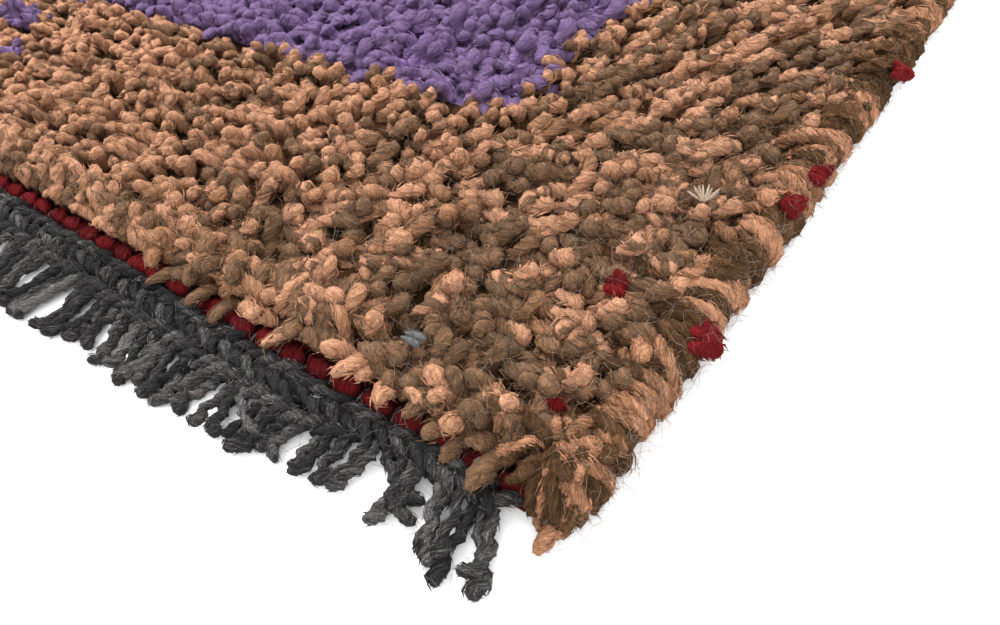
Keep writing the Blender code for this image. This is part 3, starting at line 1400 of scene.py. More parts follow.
@dataclass
class Pile:
    """The knotted pile: cut ends of yarn from every knot."""

    two_ends: tuple[tuple[float, float], ...] = ((-0.0025, 0.0), (0.0025, 0.0))
    four_ends: tuple[tuple[float, float], ...] = (
        (-0.0027, 0.0025),
        (0.0026, 0.0022),
        (-0.0024, -0.0023),
        (0.0028, -0.0025),
    )
    middle_end: tuple[float, float] = (0.0002, 0.0)
    lip_ends: tuple[tuple[float, float], ...] = ((-0.0028, 0.0049), (0.0024, 0.0051))
    side_ends: tuple[tuple[float, float], ...] = ((0.0051, 0.0052), (-0.0002, -0.0054))
    side_columns: int = 5
    outward_columns: int = 3
    short_from: float = 0.0040
    openings: tuple[tuple[float, float], ...] = (
        (0.3725, -0.5495),
        (0.3425, -0.5915),
        (0.3770, -0.5130),
        (0.3780, -0.5895),
    )
    opening_radius: float = 0.0026
    shapes: int = 12
    seed: int = 7
    rng: random.Random = field(init=False)

    def __post_init__(self) -> None:
        """Starts the pile's own random draws."""
        self.rng = random.Random(self.seed)

    def _dye(self, purple: bool, x: float, y: float) -> tuple[float, float]:
        """Draws the tone of a tuft's two plies, from dark to light.

        Args:
            purple: Whether it is on the field or the motif.
            x: Its place across the rug.
            y: Its place along it.

        Returns:
            The tone of each ply, from 0 to 1.
        """
        rng = self.rng
        patch = 0.5 + 0.62 * wander(x, y, 0.011, 4.0) + 0.25 * wander(x, y, 0.045, 5.0)
        patch += rng.uniform(-0.24, 0.24)
        if purple:
            tone = 0.5 + 0.45 * (patch - 0.5)
            return tone, tone + rng.uniform(-0.08, 0.08)
        patch += 0.10 * swell(0.08, 0.18, GAUGE.half_columns * GAUGE.knot - x) - 0.17 * self._mess(x, y)
        patch -= 0.10 * (y < -GAUGE.half_pile + 0.007)
        even = 1.0 - swell(0.20, 0.34, x)
        tone = 0.06 + 0.06 * even + (0.80 - 0.10 * even) * swell(0.38, 0.60, patch + 0.04 * even)
        if rng.random() < 0.12:
            return tone, 1.0 - tone
        return tone, kept(tone + rng.uniform(-0.12, 0.12), 0.0, 1.0)

    @staticmethod
    def _mess(x: float, y: float) -> float:
        """How tangled the pile is: most at the near right corner."""
        corner = Vector((x - CORD_HIGH.x, y + GAUGE.half_pile)).length
        return 0.2 + 0.8 * (1.0 - swell(0.03, 0.14, corner))

    def _lean(self, column: int, row: int, mess: float, laid: float) -> tuple[float, float]:
        """Draws how far a tuft leans and which way it swings.

        Args:
            column: Its knot's number from the middle of the row.
            row: Its row's number.
            mess: How tangled the pile is there.
            laid: How far the pile is laid over there, from 0 to 1.

        Returns:
            Its angle from upright and its swing round from the near end, in degrees.
        """
        rng = self.rng
        lean = 22.0 + 8.0 * mess + 13.0 * laid + rng.gauss(0.0, 7.0 + 12.0 * mess)
        swing = 42.0 + 34.0 * laid + rng.gauss(0.0, 30.0 + 24.0 * mess)
        if GAUGE.half_columns - abs(column) < self.outward_columns:
            swing = rng.gauss(math.copysign(66.0, column), 36.0)
        if row == 0:
            lean = rng.uniform(-8.0, 4.0)
            swing = rng.uniform(70.0, 290.0)
            if rng.random() < 0.10 + 0.25 * laid:
                lean = rng.uniform(4.0, 8.0 + 8.0 * laid)
                swing = rng.gauss(0.0, 30.0)
        if row == GAUGE.rows - 1:
            lean = rng.uniform(-12.0, 6.0)
        return lean, swing

    def _spot(self, column: int, row: int, end: tuple[float, float]) -> Spot:
        """Draws where one end of a knot stands and how it leans.

        Args:
            column: The knot's number from the middle of the row.
            row: Its row's number.
            end: How far the end stands from the knot's middle.

        Returns:
            The end's spot, not yet dyed.
        """
        rng = self.rng
        x = column * GAUGE.knot + end[0] + rng.uniform(-0.0008, 0.0008)
        y = GAUGE.row_place(row) + end[1] + 0.0012 * wander(x, row * GAUGE.row, 0.06, 1.0)
        mess = self._mess(x, y)
        laid = swell(0.22, 0.34, x)
        lean, swing = self._lean(column, row, mess, laid)
        tall = rng.uniform(0.94, 1.04) * (1.0 + 0.04 * wander(x, y, 0.03, 8.0) + 0.06 * laid)
        if abs(end[1]) > self.short_from:
            tall *= rng.uniform(0.55, 0.85)
        girth = rng.uniform(1.00, 1.18) + 0.06 * mess + 0.08 * (1.0 - laid)
        turn = (math.radians(lean), 0.0, math.radians(swing))
        place = (x, y, GAUGE.root_height)
        return Spot(place, turn, (girth, girth, tall), rng.randrange(self.shapes), chance=rng.random())

    def _ends(self, column: int, row: int, detail: Detail) -> list[tuple[float, float]]:
        """Lists the cut ends of one knot.

        Args:
            column: The knot's number from the middle of the row.
            row: Its row's number.
            detail: How finely the pile is made there.

        Returns:
            How far each end stands from the knot's middle.
        """
        ends = list(self.two_ends if detail is Detail.PLAIN else self.four_ends)
        if detail is Detail.CLOSE:
            ends.append(self.middle_end)
        at_edge = self.lip_ends if row in (0, GAUGE.rows - 1) else ()
        if detail is Detail.CLOSE and GAUGE.half_columns - column < self.side_columns:
            at_edge += self.side_ends
        return ends + [(x, y if row else -y) for x, y in at_edge]

    def _is_open(self, x: float, y: float) -> bool:
        """Says whether a place is kept free, so that what lies under the pile shows."""
        return any(math.hypot(x - at_x, y - at_y) <= self.opening_radius for at_x, at_y in self.openings)

    def build(self) -> list[bpy.types.Object]:
        """Sets every tuft, the border's and the field's apart.

        Returns:
            The pieces.
        """
        border = YarnWork("pile_border", EARTH.material(), Slot.PILE, drawn_tuft, self.shapes)
        inner = YarnWork("pile_field", PURPLE.material(), Slot.PILE, drawn_tuft, self.shapes, seed=5)
        for row in range(GAUGE.rows):
            for column in range(-GAUGE.half_columns, GAUGE.half_columns + 1):
                detail = border.detail(column * GAUGE.knot, GAUGE.row_place(row))
                for end in self._ends(column, row, detail):
                    spot = self._spot(column, row, end)
                    x, y = spot.place[:2]
                    in_field = DESIGN.in_field(x, y)
                    purple = in_field or DESIGN.in_motif(column, row)
                    spot.tone, spot.marl = self._dye(purple, x, y)
                    if purple:
                        broad = 1.3 if in_field else 0.95
                        spot.size = (spot.size[0] * broad, spot.size[1] * broad, spot.size[2])
                        spot.turn = (spot.turn[0] * 0.5, 0.0, spot.turn[2])
                    if not self._is_open(x, y):
                        (inner if purple else border).add(spot)
        return border.build() + inner.build()


# The signs of the near and the far end, and of the left and the right side
BOTH_ENDS = (-1, 1)
BOTH_SIDES = (-1, 1)


def flip(end: int) -> float:
    """The half turn that takes work made for the near end to the far one."""
    return 0.0 if end < 0 else math.pi


@dataclass
class WeftLip:
    """The last shots of red weft, seen as a row of bumps between the warps."""

    out: float = 0.0037
    bump_height: float = 0.0036
    warp_height: float = 0.0034
    seed: int = 21

    @staticmethod
    def drawn_bump(name: str, detail: Detail, rng: random.Random) -> bpy.types.Object:
        """Makes one float of weft, along X.

        Args:
            name: The shape's name.
            detail: How finely it is made.
            rng: The source of its unevenness.

        Returns:
            The shape's object.
        """
        shares = np.linspace(-1.0, 1.0, detail.rings + 1)
        path = np.array([(share * 0.0038, 0.0, 0.0006 * (1.0 - share * share)) for share in shares])
        profile = ((0.0, 0.60), (0.15, 0.90), (0.5, 1.02), (0.85, 0.90), (1.0, 0.60))
        yarn = Yarn(0.0025, profile=profile, fibres=16, fibre_length=0.0014, wisps=20)
        return yarn.at(detail).sweep(name, path, detail.sides, rng)

    @staticmethod
    def drawn_warp(name: str, detail: Detail, rng: random.Random) -> bpy.types.Object:
        """Makes one warp thread that crosses the lip, towards -Y.

        Args:
            name: The shape's name.
            detail: How finely it is made.
            rng: The source of its unevenness.

        Returns:
            The shape's object.
        """
        shares = np.linspace(0.0, 1.0, detail.rings)
        sway = rng.uniform(-0.0006, 0.0006)
        path = np.array([(sway * s, 0.0034 - 0.0066 * s, -0.0022 * (2 * s - 1) ** 4) for s in shares])
        yarn = Yarn(0.00034, ply_depth=0.1, fibres=10, fibre_length=0.0010)
        return yarn.at(detail).sweep(name, path, detail.sides, rng)

    def build(self) -> list[bpy.types.Object]:
        """Lays the bumps and the warps across both ends.

        Returns:
            The pieces.
        """
        rng = random.Random(self.seed)
        wefts = YarnWork("weft_bumps", RED.material(), Slot.PILE, self.drawn_bump, turn_spread=0.12)
        warps = YarnWork("warp_threads", PALE_GREY.material(), Slot.GREY, self.drawn_warp, turn_spread=0.05)
        for end in BOTH_ENDS:
            for column in range(-GAUGE.half_columns, GAUGE.half_columns + 1):
                x = column * GAUGE.knot + rng.uniform(-0.0006, 0.0006)
                y = end * (GAUGE.half_pile + self.out + 0.0006 * wander(x, end, 0.04, 3.0))
                turn = (0.0, 0.0, flip(end) + math.radians(-14 + rng.uniform(-9, 9)))
                size = (rng.uniform(0.90, 1.08), rng.uniform(1.05, 1.35), rng.uniform(0.9, 1.08))
                tone = rng.uniform(0.3, 0.85)
                wefts.lay((x, y, self.bump_height), turn, size, (tone, tone), rng)
                turn = (0.0, 0.0, flip(end) + math.radians(rng.uniform(-10, 14)))
                warps.lay((x + GAUGE.knot / 2, y, self.warp_height), turn, (1, 1, 1), (0.35, 0.2), rng)
        return wefts.build() + warps.build()


@dataclass
class PlaitedEnd:
    """The warp ends plaited across each end of the rug, and their cut ends as a fringe."""

    pitch: float = 0.0049
    start: float = 0.0070
    rows: tuple[Triple, ...] = ((0.0018, 0.0042, 34.0), (0.0056, 0.0050, -32.0), (0.0096, 0.0042, 30.0))
    root: float = 0.0108
    third_row_end: float = 0.338
    strand_gap: float = 0.0102
    strand_height: float = 0.0026
    core_radius: float = 0.0042
    core_height: float = 0.0028
    seed: int = 31

    @staticmethod
    def line(x: float, end: int) -> float:
        """How far the plait strays from straight, towards the middle of the rug."""
        return 0.0006 * swell(0.33, 0.375, abs(x)) + 0.0008 * wander(x, 3.0 * end, 0.035, 6.0)

    @staticmethod
    def spread(x: float, end: int) -> float:
        """How broad the plait is, from the lip out: it narrows towards the corners."""
        return 1.04 - 0.40 * swell(0.315, 0.36, abs(x)) + 0.14 * wander(x, 5.0 * end, 0.03, 9.0)

    @staticmethod
    def drawn_stitch(name: str, detail: Detail, rng: random.Random) -> bpy.types.Object:
        """Makes one slanting stitch of the plait, along X, that dives at both its ends.

        Args:
            name: The shape's name.
            detail: How finely it is made.
            rng: The source of its unevenness.

        Returns:
            The shape's object.
        """
        shares = np.linspace(-1.0, 1.0, detail.rings + 2)
        sway = rng.uniform(-0.0005, 0.0005)
        path = np.array([(s * 0.0047, sway * s * s, -0.0024 * s * s) for s in shares])
        profile = ((0.0, 0.6), (0.2, 0.95), (0.5, 1.05), (0.8, 0.95), (1.0, 0.6))
        yarn = Yarn(0.00175, roughness=0.14, profile=profile, fibres=14, fibre_length=0.0016, wisps=14)
        return yarn.at(detail).sweep(name, path, detail.sides, rng)

    @staticmethod
    def drawn_strand(name: str, detail: Detail, rng: random.Random) -> bpy.types.Object:
        """Makes one strand of the fringe, with a frayed and swollen cut end.

        Args:
            name: The shape's name.
            detail: How finely it is made.
            rng: The source of its unevenness.

        Returns:
            The shape's object.
        """
        path = wavy_path(0.0212, round(detail.rings * 1.8), 0.0008, 30.0, rng)
        yarn = Yarn(
            0.0017,
            ply_depth=0.08,
            roughness=0.12,
            profile=((0.0, 0.8), (0.2, 0.92), (0.7, 0.9), (0.84, 1.3), (0.95, 1.25), (1.0, 0.5)),
            fibres=44,
            fibre_length=0.0012,
            wisps=22,
        )
        return yarn.at(detail).sweep(name, path, detail.sides, rng)

    def _core(self, end: int) -> bpy.types.Object:
        """Makes the inside of the plait, which keeps light from passing between the stitches.

        Args:
            end: The sign of the rug's end.

        Returns:
            The piece.
        """
        where = "front" if end < 0 else "back"
        reach = BODY_HIGH.x - 0.008
        path = np.array([(x, 0.0, 0.0) for x in np.linspace(-reach, reach, 65)])
        profile = ((0.0, 0.8), (0.01, 1.0), (0.99, 1.0), (1.0, 0.8))
        yarn = Yarn(self.core_radius, ply_depth=0.0, profile=profile)
        piece = yarn.sweep("plait_core_" + where, path, 8, random.Random(end))
        middle = self.start + self.rows[1][0]
        for vertex in piece.data.vertices:
            x, y, z = vertex.co
            inward = 0.0022 * swell(0.315, 0.36, abs(x))
            out = GAUGE.half_pile + middle - inward - self.line(x, end)
            vertex.co = (x, end * out + y * (1.15 - inward * 150), self.core_height + z * 0.58)
        layer = piece.data.attributes.new("tone", "FLOAT", "POINT")
        layer.data.foreach_set("value", np.full(len(piece.data.vertices), 0.25, np.float32))
        piece.data.materials.append(GREY_WOOL)
        bpy.context.scene.collection.objects.link(piece)
        seat(piece, Slot.GREY, "end_band_" + where)
        return piece

    def _plait(self, work: YarnWork, end: int, rng: random.Random) -> None:
        """Adds the rows of stitches across an end.

        Args:
            work: What takes them.
            end: The sign of the rug's end.
            rng: The source of their unevenness.
        """
        count = int(2 * BODY_HIGH.x / self.pitch)
        for index in range(count):
            for out, height, slant in self.rows:
                x = (index - (count - 1) / 2) * self.pitch + rng.uniform(-0.0006, 0.0006)
                x += self.pitch / 2 if slant < 0 else 0.0
                outer = out > self.rows[1][0] and abs(x) > self.third_row_end
                if outer or abs(x) > BODY_HIGH.x - 0.003:
                    continue
                broad = self.start + out * self.spread(x, end)
                y = end * (GAUGE.half_pile + broad - self.line(x, end)) + rng.uniform(-0.0007, 0.0007)
                turn = (rng.uniform(-0.2, 0.2), 0.0, flip(end) + math.radians(slant + rng.gauss(0, 9)))
                size = (rng.uniform(0.88, 1.15), rng.uniform(0.78, 1.12), rng.uniform(0.8, 1.15))
                tone = kept(rng.gauss(0.46, 0.2), 0.05, 0.95)
                place = (x, y, height + rng.uniform(-0.0004, 0.0005))
                work.lay(place, turn, size, (tone, tone - 0.1), rng)

    def _fringe(self, work: YarnWork, end: int, rng: random.Random) -> None:
        """Adds the cut ends, which leave the plait in threes.

        Args:
            work: What takes them.
            end: The sign of the rug's end.
            rng: The source of their unevenness.
        """
        count = int(2 * (BODY_HIGH.x - 0.004) / self.strand_gap) + 1
        for index in range(count):
            middle = (index - (count - 1) / 2) * self.strand_gap + rng.uniform(-0.0012, 0.0012)
            lean = rng.gauss(-2.0 + 22.0 * swell(0.24, 0.36, middle * -end), 9.0)
            reach = 0.90 - 0.28 * swell(0.26, 0.31, abs(middle)) + 0.22 * swell(0.345, 0.372, abs(middle))
            reach += 0.12 * wander(middle, 9.0 * end, 0.04, 7.0)
            for side in (-1, 0, 1):
                x = middle + side * rng.uniform(0.0022, 0.0030)
                root = self.start + self.root * self.spread(x, end) - 0.0030 * swell(0.32, 0.345, abs(x))
                y = end * (GAUGE.half_pile + root - self.line(x, end))
                swing = flip(end) + math.radians(lean + side * rng.uniform(-9, 8) + rng.gauss(0, 6))
                longer = reach * rng.uniform(0.78, 1.10)
                size = (rng.uniform(0.9, 1.08), longer, 1.0)
                tone = kept(rng.gauss(0.46, 0.18), 0.1, 0.9)
                place = (x, y, self.strand_height + rng.uniform(-0.0002, 0.0016))
                work.lay(place, (0.0, 0.0, swing), size, (tone, tone + 0.12), rng)

    def build(self) -> list[bpy.types.Object]:
        """Makes the plait and the fringe of both ends.

        Returns:
            The pieces.
        """
        rng = random.Random(self.seed)
        plait = YarnWork(
            "plait", GREY_WOOL, Slot.GREY, self.drawn_stitch, shapes_each=10, turn_spread=0.06, seed=11
        )
        fringe = YarnWork(
            "fringe",
            GREY_WOOL,
            Slot.GREY,
            self.drawn_strand,
            shapes_each=14,
            size_spread=0.03,
            turn_spread=0.02,
            seed=12,
        )
        cores = []
        for end in BOTH_ENDS:
            cores.append(self._core(end))
            self._plait(plait, end, rng)
            self._fringe(fringe, end, rng)
        return cores + plait.build() + fringe.build()


@dataclass(frozen=True)
class Corner:
    """One corner of the rug, by the signs of its side and its end."""

    side: int
    end: int

    def place(self, x: float, y: float, z: float) -> Triple:
        """The place in this corner of one that is given for the far right corner."""
        return self.side * x, self.end * y, z

    def turned(self, angle: float) -> float:
        """The heading in this corner of a turn that is given for the far right corner."""
        return flip(-self.side) + self.side * self.end * angle


@dataclass
class SideCord:
    """The cord along each long side, overcast with wool, and its drooping knobs."""

    centre: float = 0.3916
    height: float = 0.0060
    core_radius: float = 0.0056
    turns_per_row: int = 3
    turn_sizes: Triple = (1.06, 0.98, 0.90)
    overlap_pitch: float = 0.0036
    knob_turns: int = 10
    knob_fan: int = 14
    knob_tufts: int = 52
    knob_radius: float = 0.0085
    stubs: tuple[Triple, ...] = ((0.0006, 70, 0.46), (-0.0040, 78, 0.36), (0.0030, 82, 0.30))
    seed: int = 41

    @staticmethod
    def drawn_turn(name: str, detail: Detail, rng: random.Random) -> bpy.types.Object:
        """Makes one turn of wool over a cord that runs along Y.

        Args:
            name: The shape's name.
            detail: How finely it is made.
            rng: The source of its unevenness.

        Returns:
            The shape's object.
        """
        path = arch_path(0.0054, 0.0056, rng.uniform(0.002, 0.006), 205, -38, round(detail.rings * 1.6))
        yarn = Yarn(
            0.0022,
            ply_depth=0.14,
            roughness=0.12,
            profile=((0.0, 0.7), (0.2, 1.0), (0.5, 1.08), (0.8, 1.0), (1.0, 0.6)),
            fibres=40,
            fibre_length=0.0019,
            wisps=30,
        )
        return yarn.at(detail).sweep(name, path, detail.sides, rng)

    def _core(self, side: int) -> bpy.types.Object:
        """Makes the cord under the turns of wool.

        Args:
            side: The sign of the rug's side.

        Returns:
            The piece.
        """
        where = "right" if side > 0 else "left"
        reach = GAUGE.half_pile + 0.006
        path = []
        for y in np.linspace(-reach, reach, 81):
            droop = 0.0026 * swell(GAUGE.half_pile - 0.004, reach, abs(y))
            path.append((side * self.centre, y, self.height - droop))
        profile = ((0.0, 0.35), (0.004, 0.8), (0.012, 1.0), (0.988, 1.0), (0.996, 0.8), (1.0, 0.35))
        yarn = Yarn(self.core_radius, ply_depth=0.0, profile=profile)
        piece = yarn.sweep("cord_core_" + where, np.array(path), 10, random.Random(side))
        for vertex in piece.data.vertices:
            vertex.co.z = max(vertex.co.z, 2 * FLOOR_CLEARANCE)
        piece.data.materials.append(EARTH_CORD)
        bpy.context.scene.collection.objects.link(piece)
        seat(piece, Slot.CORD, "side_cord_" + where)
        return piece

    def _turns(self, work: YarnWork, side: int, rng: random.Random) -> None:
        """Adds the turns of wool along a cord, a few beside each row of knots.

        Args:
            work: What takes them.
            side: The sign of the rug's side.
            rng: The source of their unevenness.
        """
        pitch = GAUGE.row / self.turns_per_row
        for index in range(round(2 * GAUGE.half_pile / pitch)):
            y = -GAUGE.half_pile + (index + 0.5) * pitch + rng.uniform(-0.0008, 0.0008)
            swelling = self.turn_sizes[index % self.turns_per_row] + rng.uniform(-0.04, 0.04)
            tone = 0.16 if rng.random() < 0.52 else 0.84
            tone += rng.uniform(-0.12, 0.12)
            swing = flip(-side) + math.radians(rng.gauss(-6, 19))
            place = (side * (self.centre + rng.uniform(-0.0004, 0.0004)), y, self.height)
            size = (swelling, rng.uniform(0.8, 1.35), swelling * rng.uniform(0.94, 1.06))
            marl = kept(tone + rng.uniform(-0.25, 0.25), 0.05, 0.9)
            work.lay(place, (0.0, 0.0, swing), size, (tone, marl), rng)

    def _overlap(self, work: YarnWork, side: int, rng: random.Random) -> None:
        """Adds pile yarn that lies out over the cord, so that no line parts the two.

        Args:
            work: What takes it.
            side: The sign of the rug's side.
            rng: The source of its unevenness.
        """
        for index in range(round(2 * GAUGE.half_pile / self.overlap_pitch)):
            y = -GAUGE.half_pile + 0.004 + index * self.overlap_pitch + rng.uniform(-0.002, 0.002)
            x = side * (BODY_HIGH.x + rng.uniform(-0.003, 0.0045))
            tone = rng.uniform(0.08, 0.35) if rng.random() < 0.5 else rng.uniform(0.6, 0.9)
            lean = math.radians(rng.uniform(30, 70))
            swing = math.radians(side * rng.uniform(20, 130))
            length = 0.85 * rng.uniform(0.75, 1.0)
            place = (x, y, rng.uniform(0.0078, 0.0102))
            marl = kept(tone + rng.uniform(-0.3, 0.3), 0.05, 0.9)
            work.lay(place, (lean, 0.0, swing), (1, 1, length), (tone, marl), rng)

    def _knob_wool(self, work: YarnWork, corner: Corner, rng: random.Random) -> None:
        """Winds a corner's knob: slanting turns along the cord, then a fan of them round its end.

        Args:
            work: What takes the turns.
            corner: The rug's corner.
            rng: The source of their unevenness.
        """
        for index in range(self.knob_turns):
            share = index / (self.knob_turns - 1)
            size = 1.14 - 0.50 * share * share
            tone = 0.7 if index in (1, 4, 5, 8) else 0.2
            turn = (math.radians(corner.end * 16 * share), 0.0, corner.turned(math.radians(34)))
            place = corner.place(
                self.centre - 0.0030 + 0.0015 * share,
                GAUGE.half_pile - 0.009 + 0.0150 * share,
                self.height - 0.0020 * share,
            )
            work.lay(place, turn, (size * 1.2, size, size), (tone, 0.3), rng)
        for index in range(self.knob_fan):
            facing = -18 + 9 * index + rng.uniform(-4, 4)
            away = math.radians(facing)
            tone = rng.uniform(0.82, 1.0) if rng.random() < (0.7 if facing < 55 else 0.25) else 0.12
            size = rng.uniform(1.08, 1.26)
            place = corner.place(
                self.centre - 0.0042 + 0.0024 * math.cos(away),
                GAUGE.half_pile - 0.0030 + 0.0036 * math.sin(away),
                self.height + rng.uniform(-0.0006, 0.0006),
            )
            turn = (0.0, 0.0, corner.turned(away))
            work.lay(place, turn, (size, 0.8, size), (tone, tone * 0.8), rng)

    def _knob_ends(self, work: YarnWork, corner: Corner, rng: random.Random) -> None:
        """Covers a knob with short tufts, and hangs a few bright cut ends out of it.

        Args:
            work: What takes the tufts.
            corner: The rug's corner.
            rng: The source of their unevenness.
        """
        for _ in range(self.knob_tufts):
            angle = rng.uniform(0, 2 * math.pi)
            out = 0.8 * math.sqrt(rng.random())
            x, y, z = corner.place(self.centre - 0.0052, GAUGE.half_pile - 0.003, 0.0148 - 0.0044 * out)
            x += self.knob_radius * out * math.cos(angle)
            y += self.knob_radius * out * math.sin(angle)
            tilt = math.radians(30 + 55 * out + rng.uniform(-14, 14))
            swing = math.atan2(math.cos(angle), -math.sin(angle)) + rng.uniform(-1.0, 1.0)
            bright = 0.46 if corner.side * math.cos(angle) > 0.1 else 0.22
            tone = rng.uniform(0.75, 1.0) if rng.random() < bright else rng.uniform(0.02, 0.26)
            size = rng.uniform(0.28, 0.46)
            girth = size * rng.uniform(1.3, 1.8)
            work.lay((x, y, z), (tilt, 0.0, swing), (girth, girth, size), (tone, tone * 0.9), rng)
        for outward, drop, size in self.stubs:
            place = corner.place(self.centre + outward, GAUGE.half_pile + 0.0052, 0.0042)
            turn = (math.radians(drop), 0.0, flip(corner.end) + rng.uniform(-0.3, 0.3))
            work.lay(place, turn, (size * 1.7, size * 1.7, size), (0.88, 0.8), rng)

    def build(self) -> list[bpy.types.Object]:
        """Makes both cords.

        Returns:
            The pieces.
        """
        rng = random.Random(self.seed)
        turns = YarnWork(
            "cord_turns", EARTH_CORD, Slot.CORD, self.drawn_turn, shapes_each=10, size_spread=0.03, seed=13
        )
        ends = YarnWork(
            "knob_tufts", EARTH_CORD, Slot.CORD, drawn_tuft, size_spread=0.15, turn_spread=0.2, seed=14
        )
        cores = []
        for side in BOTH_SIDES:
            cores.append(self._core(side))
            self._turns(turns, side, rng)
            self._overlap(ends, side, rng)
            for end in BOTH_ENDS:
                self._knob_wool(turns, Corner(side, end), rng)
                self._knob_ends(ends, Corner(side, end), rng)
        return cores + turns.build() + ends.build()


def drawn_hair(name: str, _: Detail, rng: random.Random) -> bpy.types.Object:
    """Makes one loose curling fibre of wool, the same for every detail.

    Args:
        name: The shape's name.
        _: Its detail, which changes nothing here.
        rng: The source of its length and curl.

    Returns:
        The shape's object.
    """
    shares = np.linspace(0.0, 1.0, 4)
    length = rng.uniform(0.003, 0.008)
    turn, rise, coil = rng.gauss(0.0, 2.4), rng.uniform(-0.3, 1.0), rng.uniform(0, 6.3)
    points = [np.zeros(3)]
    for share in shares[1:]:
        angle = coil + turn * share
        heading = np.array((math.cos(angle), math.sin(angle), rise * (0.8 - share)))
        points.append(points[-1] + unit(heading) * length / (len(shares) - 1))
    yarn = Yarn(0.00005, ply_depth=0.0, twist=0.0, profile=((0.0, 1.0), (0.8, 0.8), (1.0, 0.3)))
    return yarn.sweep(name, np.array(points), 3, rng)


@dataclass
class StrayFibres:
    """The loose hairs that stand off hand-spun wool, where the photograph is near enough to show them."""

    over_pile: int = 1500
    at_edge: int = 420
    at_fringe: int = 220
    cord_reach: float = 0.0076
    cord_rise: float = 0.0072
    plait_edge: float = -0.620
    seed: int = 51

    def build(self) -> list[bpy.types.Object]:
        """Sets the hairs over the pile, the side and the fringe of the near corner.

        Returns:
            The pieces.
        """
        rng = random.Random(self.seed)
        pale = YarnWork(
            "loose_wool", LOOSE.material(), Slot.PILE, drawn_hair, shapes_each=20, turn_spread=1.2
        )
        grey = YarnWork(
            "loose_grey", PALE_GREY.material(), Slot.GREY, drawn_hair, shapes_each=20, turn_spread=1.0
        )
        for _ in range(self.over_pile):
            x = CORD_HIGH.x - abs(rng.gauss(0.0, 0.09))
            y = -GAUGE.half_pile + abs(rng.gauss(0.0, 0.10))
            self._add(pale, x, y, rng.uniform(0.0125, 0.0160), rng)
        for _ in range(self.at_edge):
            y = -GAUGE.half_pile - 0.006 + abs(rng.gauss(0.0, 0.13))
            angle = rng.uniform(-0.6, 1.4)
            x = SideCord.centre + self.cord_reach * math.cos(angle)
            self._add(pale, x, y, max(SideCord.height + self.cord_rise * math.sin(angle), 0.0012), rng)
        for _ in range(self.at_fringe):
            x = 0.385 - abs(rng.gauss(0.0, 0.10))
            y = -GAUGE.half_pile - rng.uniform(0.006, 0.030)
            self._add(grey, x, y, 0.0068 if y > self.plait_edge else 0.0035, rng)
        return pale.build() + grey.build()

    @staticmethod
    def _add(work: YarnWork, x: float, y: float, z: float, rng: random.Random) -> None:
        """Adds one hair, if the photograph's view holds it.

        Args:
            work: What takes it.
            x: Its place across the rug.
            y: Its place along it.
            z: Its height.
            rng: The source of its heading and tone.
        """
        if work.detail(x, y) is Detail.PLAIN:
            return
        turn = (0.0, 0.0, rng.uniform(0, 6.3))
        tone = rng.uniform(0.2, 1.0)
        work.lay((x, y, z), turn, (1, 1, 1), (tone, tone), rng)


@dataclass
class OddBits:
    """What makes this corner its own: red weft that shows through, a straw and a wisp of grey."""

    red_spots: tuple[tuple[float, float, float, float], ...] = (
        (0.3985, -0.5540, 0.0100, 1.35),
        (0.3965, -0.5015, 0.0122, 1.0),
        (0.3975, -0.4850, 0.0118, 0.8),
        (0.3990, -0.4215, 0.0110, 1.0),
        (0.3725, -0.5495, 0.0125, 0.85),
        (0.3780, -0.5895, 0.0110, 0.9),
    )
    straw: Triple = (0.3770, -0.5130, 0.0146)
    splinters: int = 9
    wisp: Triple = (0.3425, -0.5915, 0.0150)
    seed: int = 61

    @staticmethod
    def drawn_straw(name: str, _: Detail, rng: random.Random) -> bpy.types.Object:
        """Makes one stiff pale splinter, the same for every detail.

        Args:
            name: The shape's name.
            _: Its detail, which changes nothing here.
            rng: The source of its length and unevenness.

        Returns:
            The shape's object.
        """
        length = rng.uniform(0.0045, 0.0075)
        path = np.array([(0.0, -s * length, s * s * 0.0012) for s in np.linspace(0.0, 1.0, 5)])
        return Yarn(0.00042, ply_depth=0.0, twist=0.0, roughness=0.2).sweep(name, path, 5, rng)

    def _red(self, rng: random.Random) -> YarnWork:
        """Gathers the bumps of red weft that show through, three to a spot.

        Args:
            rng: The source of their unevenness.

        Returns:
            The work that holds them.
        """
        red = YarnWork(
            "weft_through", RED.material(), Slot.PILE, WeftLip.drawn_bump, turn_spread=0.4, seed=15
        )
        for x, y, z, size in self.red_spots:
            for step in range(3):
                place = (x + rng.uniform(-0.001, 0.001), y + 0.0022 * (step - 1), z)
                turn = (0.0, rng.uniform(0.1, 0.7), rng.uniform(-0.5, 0.5))
                tone = rng.uniform(0.5, 1.0)
                red.lay(place, turn, (size * 0.8,) * 3, (tone, tone), rng)
        return red

    def build(self) -> list[bpy.types.Object]:
        """Sets the odd bits.

        Returns:
            The pieces.
        """
        rng = random.Random(self.seed)
        red = self._red(rng)
        straw = YarnWork("straw", STRAW.material(), Slot.PILE, self.drawn_straw, seed=16)
        for step in range(self.splinters):
            turn = (rng.uniform(-0.7, 0.2), 0.0, math.radians(120 + 18 * step))
            shape = step % straw.shapes_each
            straw.add(Spot(self.straw, turn, (0.8,) * 3, shape, rng.random(), rng.random(), rng.random()))
        wisp = YarnWork("grey_wisp", PALE_GREY.material(), Slot.PILE, WeftLip.drawn_bump, seed=17)
        for step in range(2):
            place = (self.wisp[0], self.wisp[1] + 0.002 * step, self.wisp[2])
            wisp.add(Spot(place, (0.0, 0.0, 0.1), (0.7, 0.45, 0.4), step, 0.35, 0.3, rng.random()))
        return red.build() + straw.build() + wisp.build()


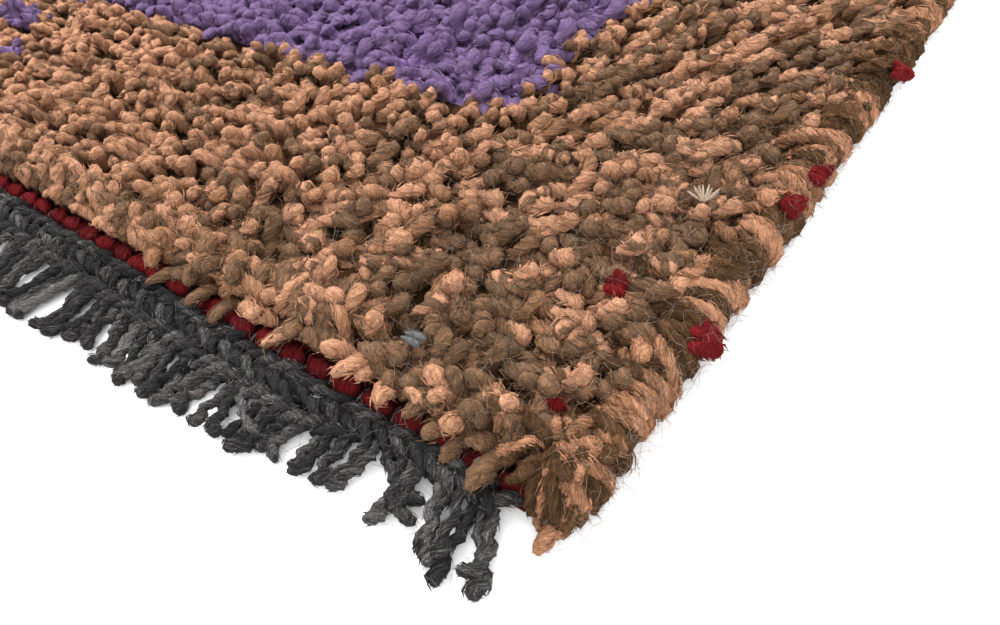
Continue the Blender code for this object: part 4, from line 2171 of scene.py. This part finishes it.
@dataclass
class Studio:
    """The pale floor and the soft white light."""

    floor_size: float = 8.0
    floor_colour: Paint = (0.90, 0.90, 0.90, 1.0)
    light: float = 1.95
    aim: Triple = (0.3, -0.4, 0.0)

    def build(self) -> None:
        """Makes the floor, the world and the lights."""
        self._floor()
        world = bpy.context.scene.world or bpy.data.worlds.new("studio")
        bpy.context.scene.world = world
        world.use_nodes = True
        background = world.node_tree.nodes["Background"]
        background.inputs[0].default_value = (1.0, 1.0, 1.0, 1.0)
        background.inputs[1].default_value = self.light
        self._softbox("key", (-0.7, 0.3, 1.5), 1.1, 46.0)
        self._softbox("fill", (1.3, -1.4, 1.2), 1.2, 12.0)
        bpy.context.scene.view_settings.view_transform = "Standard"

    def _floor(self) -> None:
        """Lays the plain floor under the rug."""
        half = self.floor_size / 2
        mesh = bpy.data.meshes.new("studio_floor")
        corners = [(-half, -half, 0), (half, -half, 0), (half, half, 0), (-half, half, 0)]
        mesh.from_pydata(corners, [], [(0, 1, 2, 3)])
        floor = bpy.data.objects.new("studio_floor", mesh)
        bpy.context.scene.collection.objects.link(floor)
        paper = bpy.data.materials.new("pale_floor")
        paper.use_nodes = True
        shader = paper.node_tree.nodes["Principled BSDF"]
        shader.inputs["Base Color"].default_value = self.floor_colour
        shader.inputs["Roughness"].default_value = 0.7
        shader.inputs["Specular IOR Level"].default_value = 0.1
        mesh.materials.append(paper)

    def _softbox(self, name: str, place: Triple, size: float, power: float) -> None:
        """Adds one square soft light that faces the rug's near corner.

        Args:
            name: The light's name.
            place: Where it hangs.
            size: Its side in metres.
            power: Its power in watts.
        """
        data = bpy.data.lights.new(name, "AREA")
        data.shape = "SQUARE"
        data.size = size
        data.energy = power
        light = bpy.data.objects.new(name, data)
        light.location = place
        aim = Vector(self.aim) - Vector(place)
        light.rotation_euler = aim.to_track_quat("-Z", "Y").to_euler()
        bpy.context.scene.collection.objects.link(light)


def main() -> None:
    """Builds the camera, the studio and the rug's pieces in order."""
    logging.basicConfig(level=logging.INFO)
    CAMERA.build()
    Studio().build()
    ground = WovenGround().build()
    pieces = []
    for work in (Pile(), WeftLip(), PlaitedEnd(), SideCord(), StrayFibres(), OddBits()):
        pieces += work.build()
    total = sum(len(piece.data.loop_triangles) for piece in [ground, *pieces])
    LOG.info("triangles in all: %d", total)


if __name__ == "__main__":
    main()
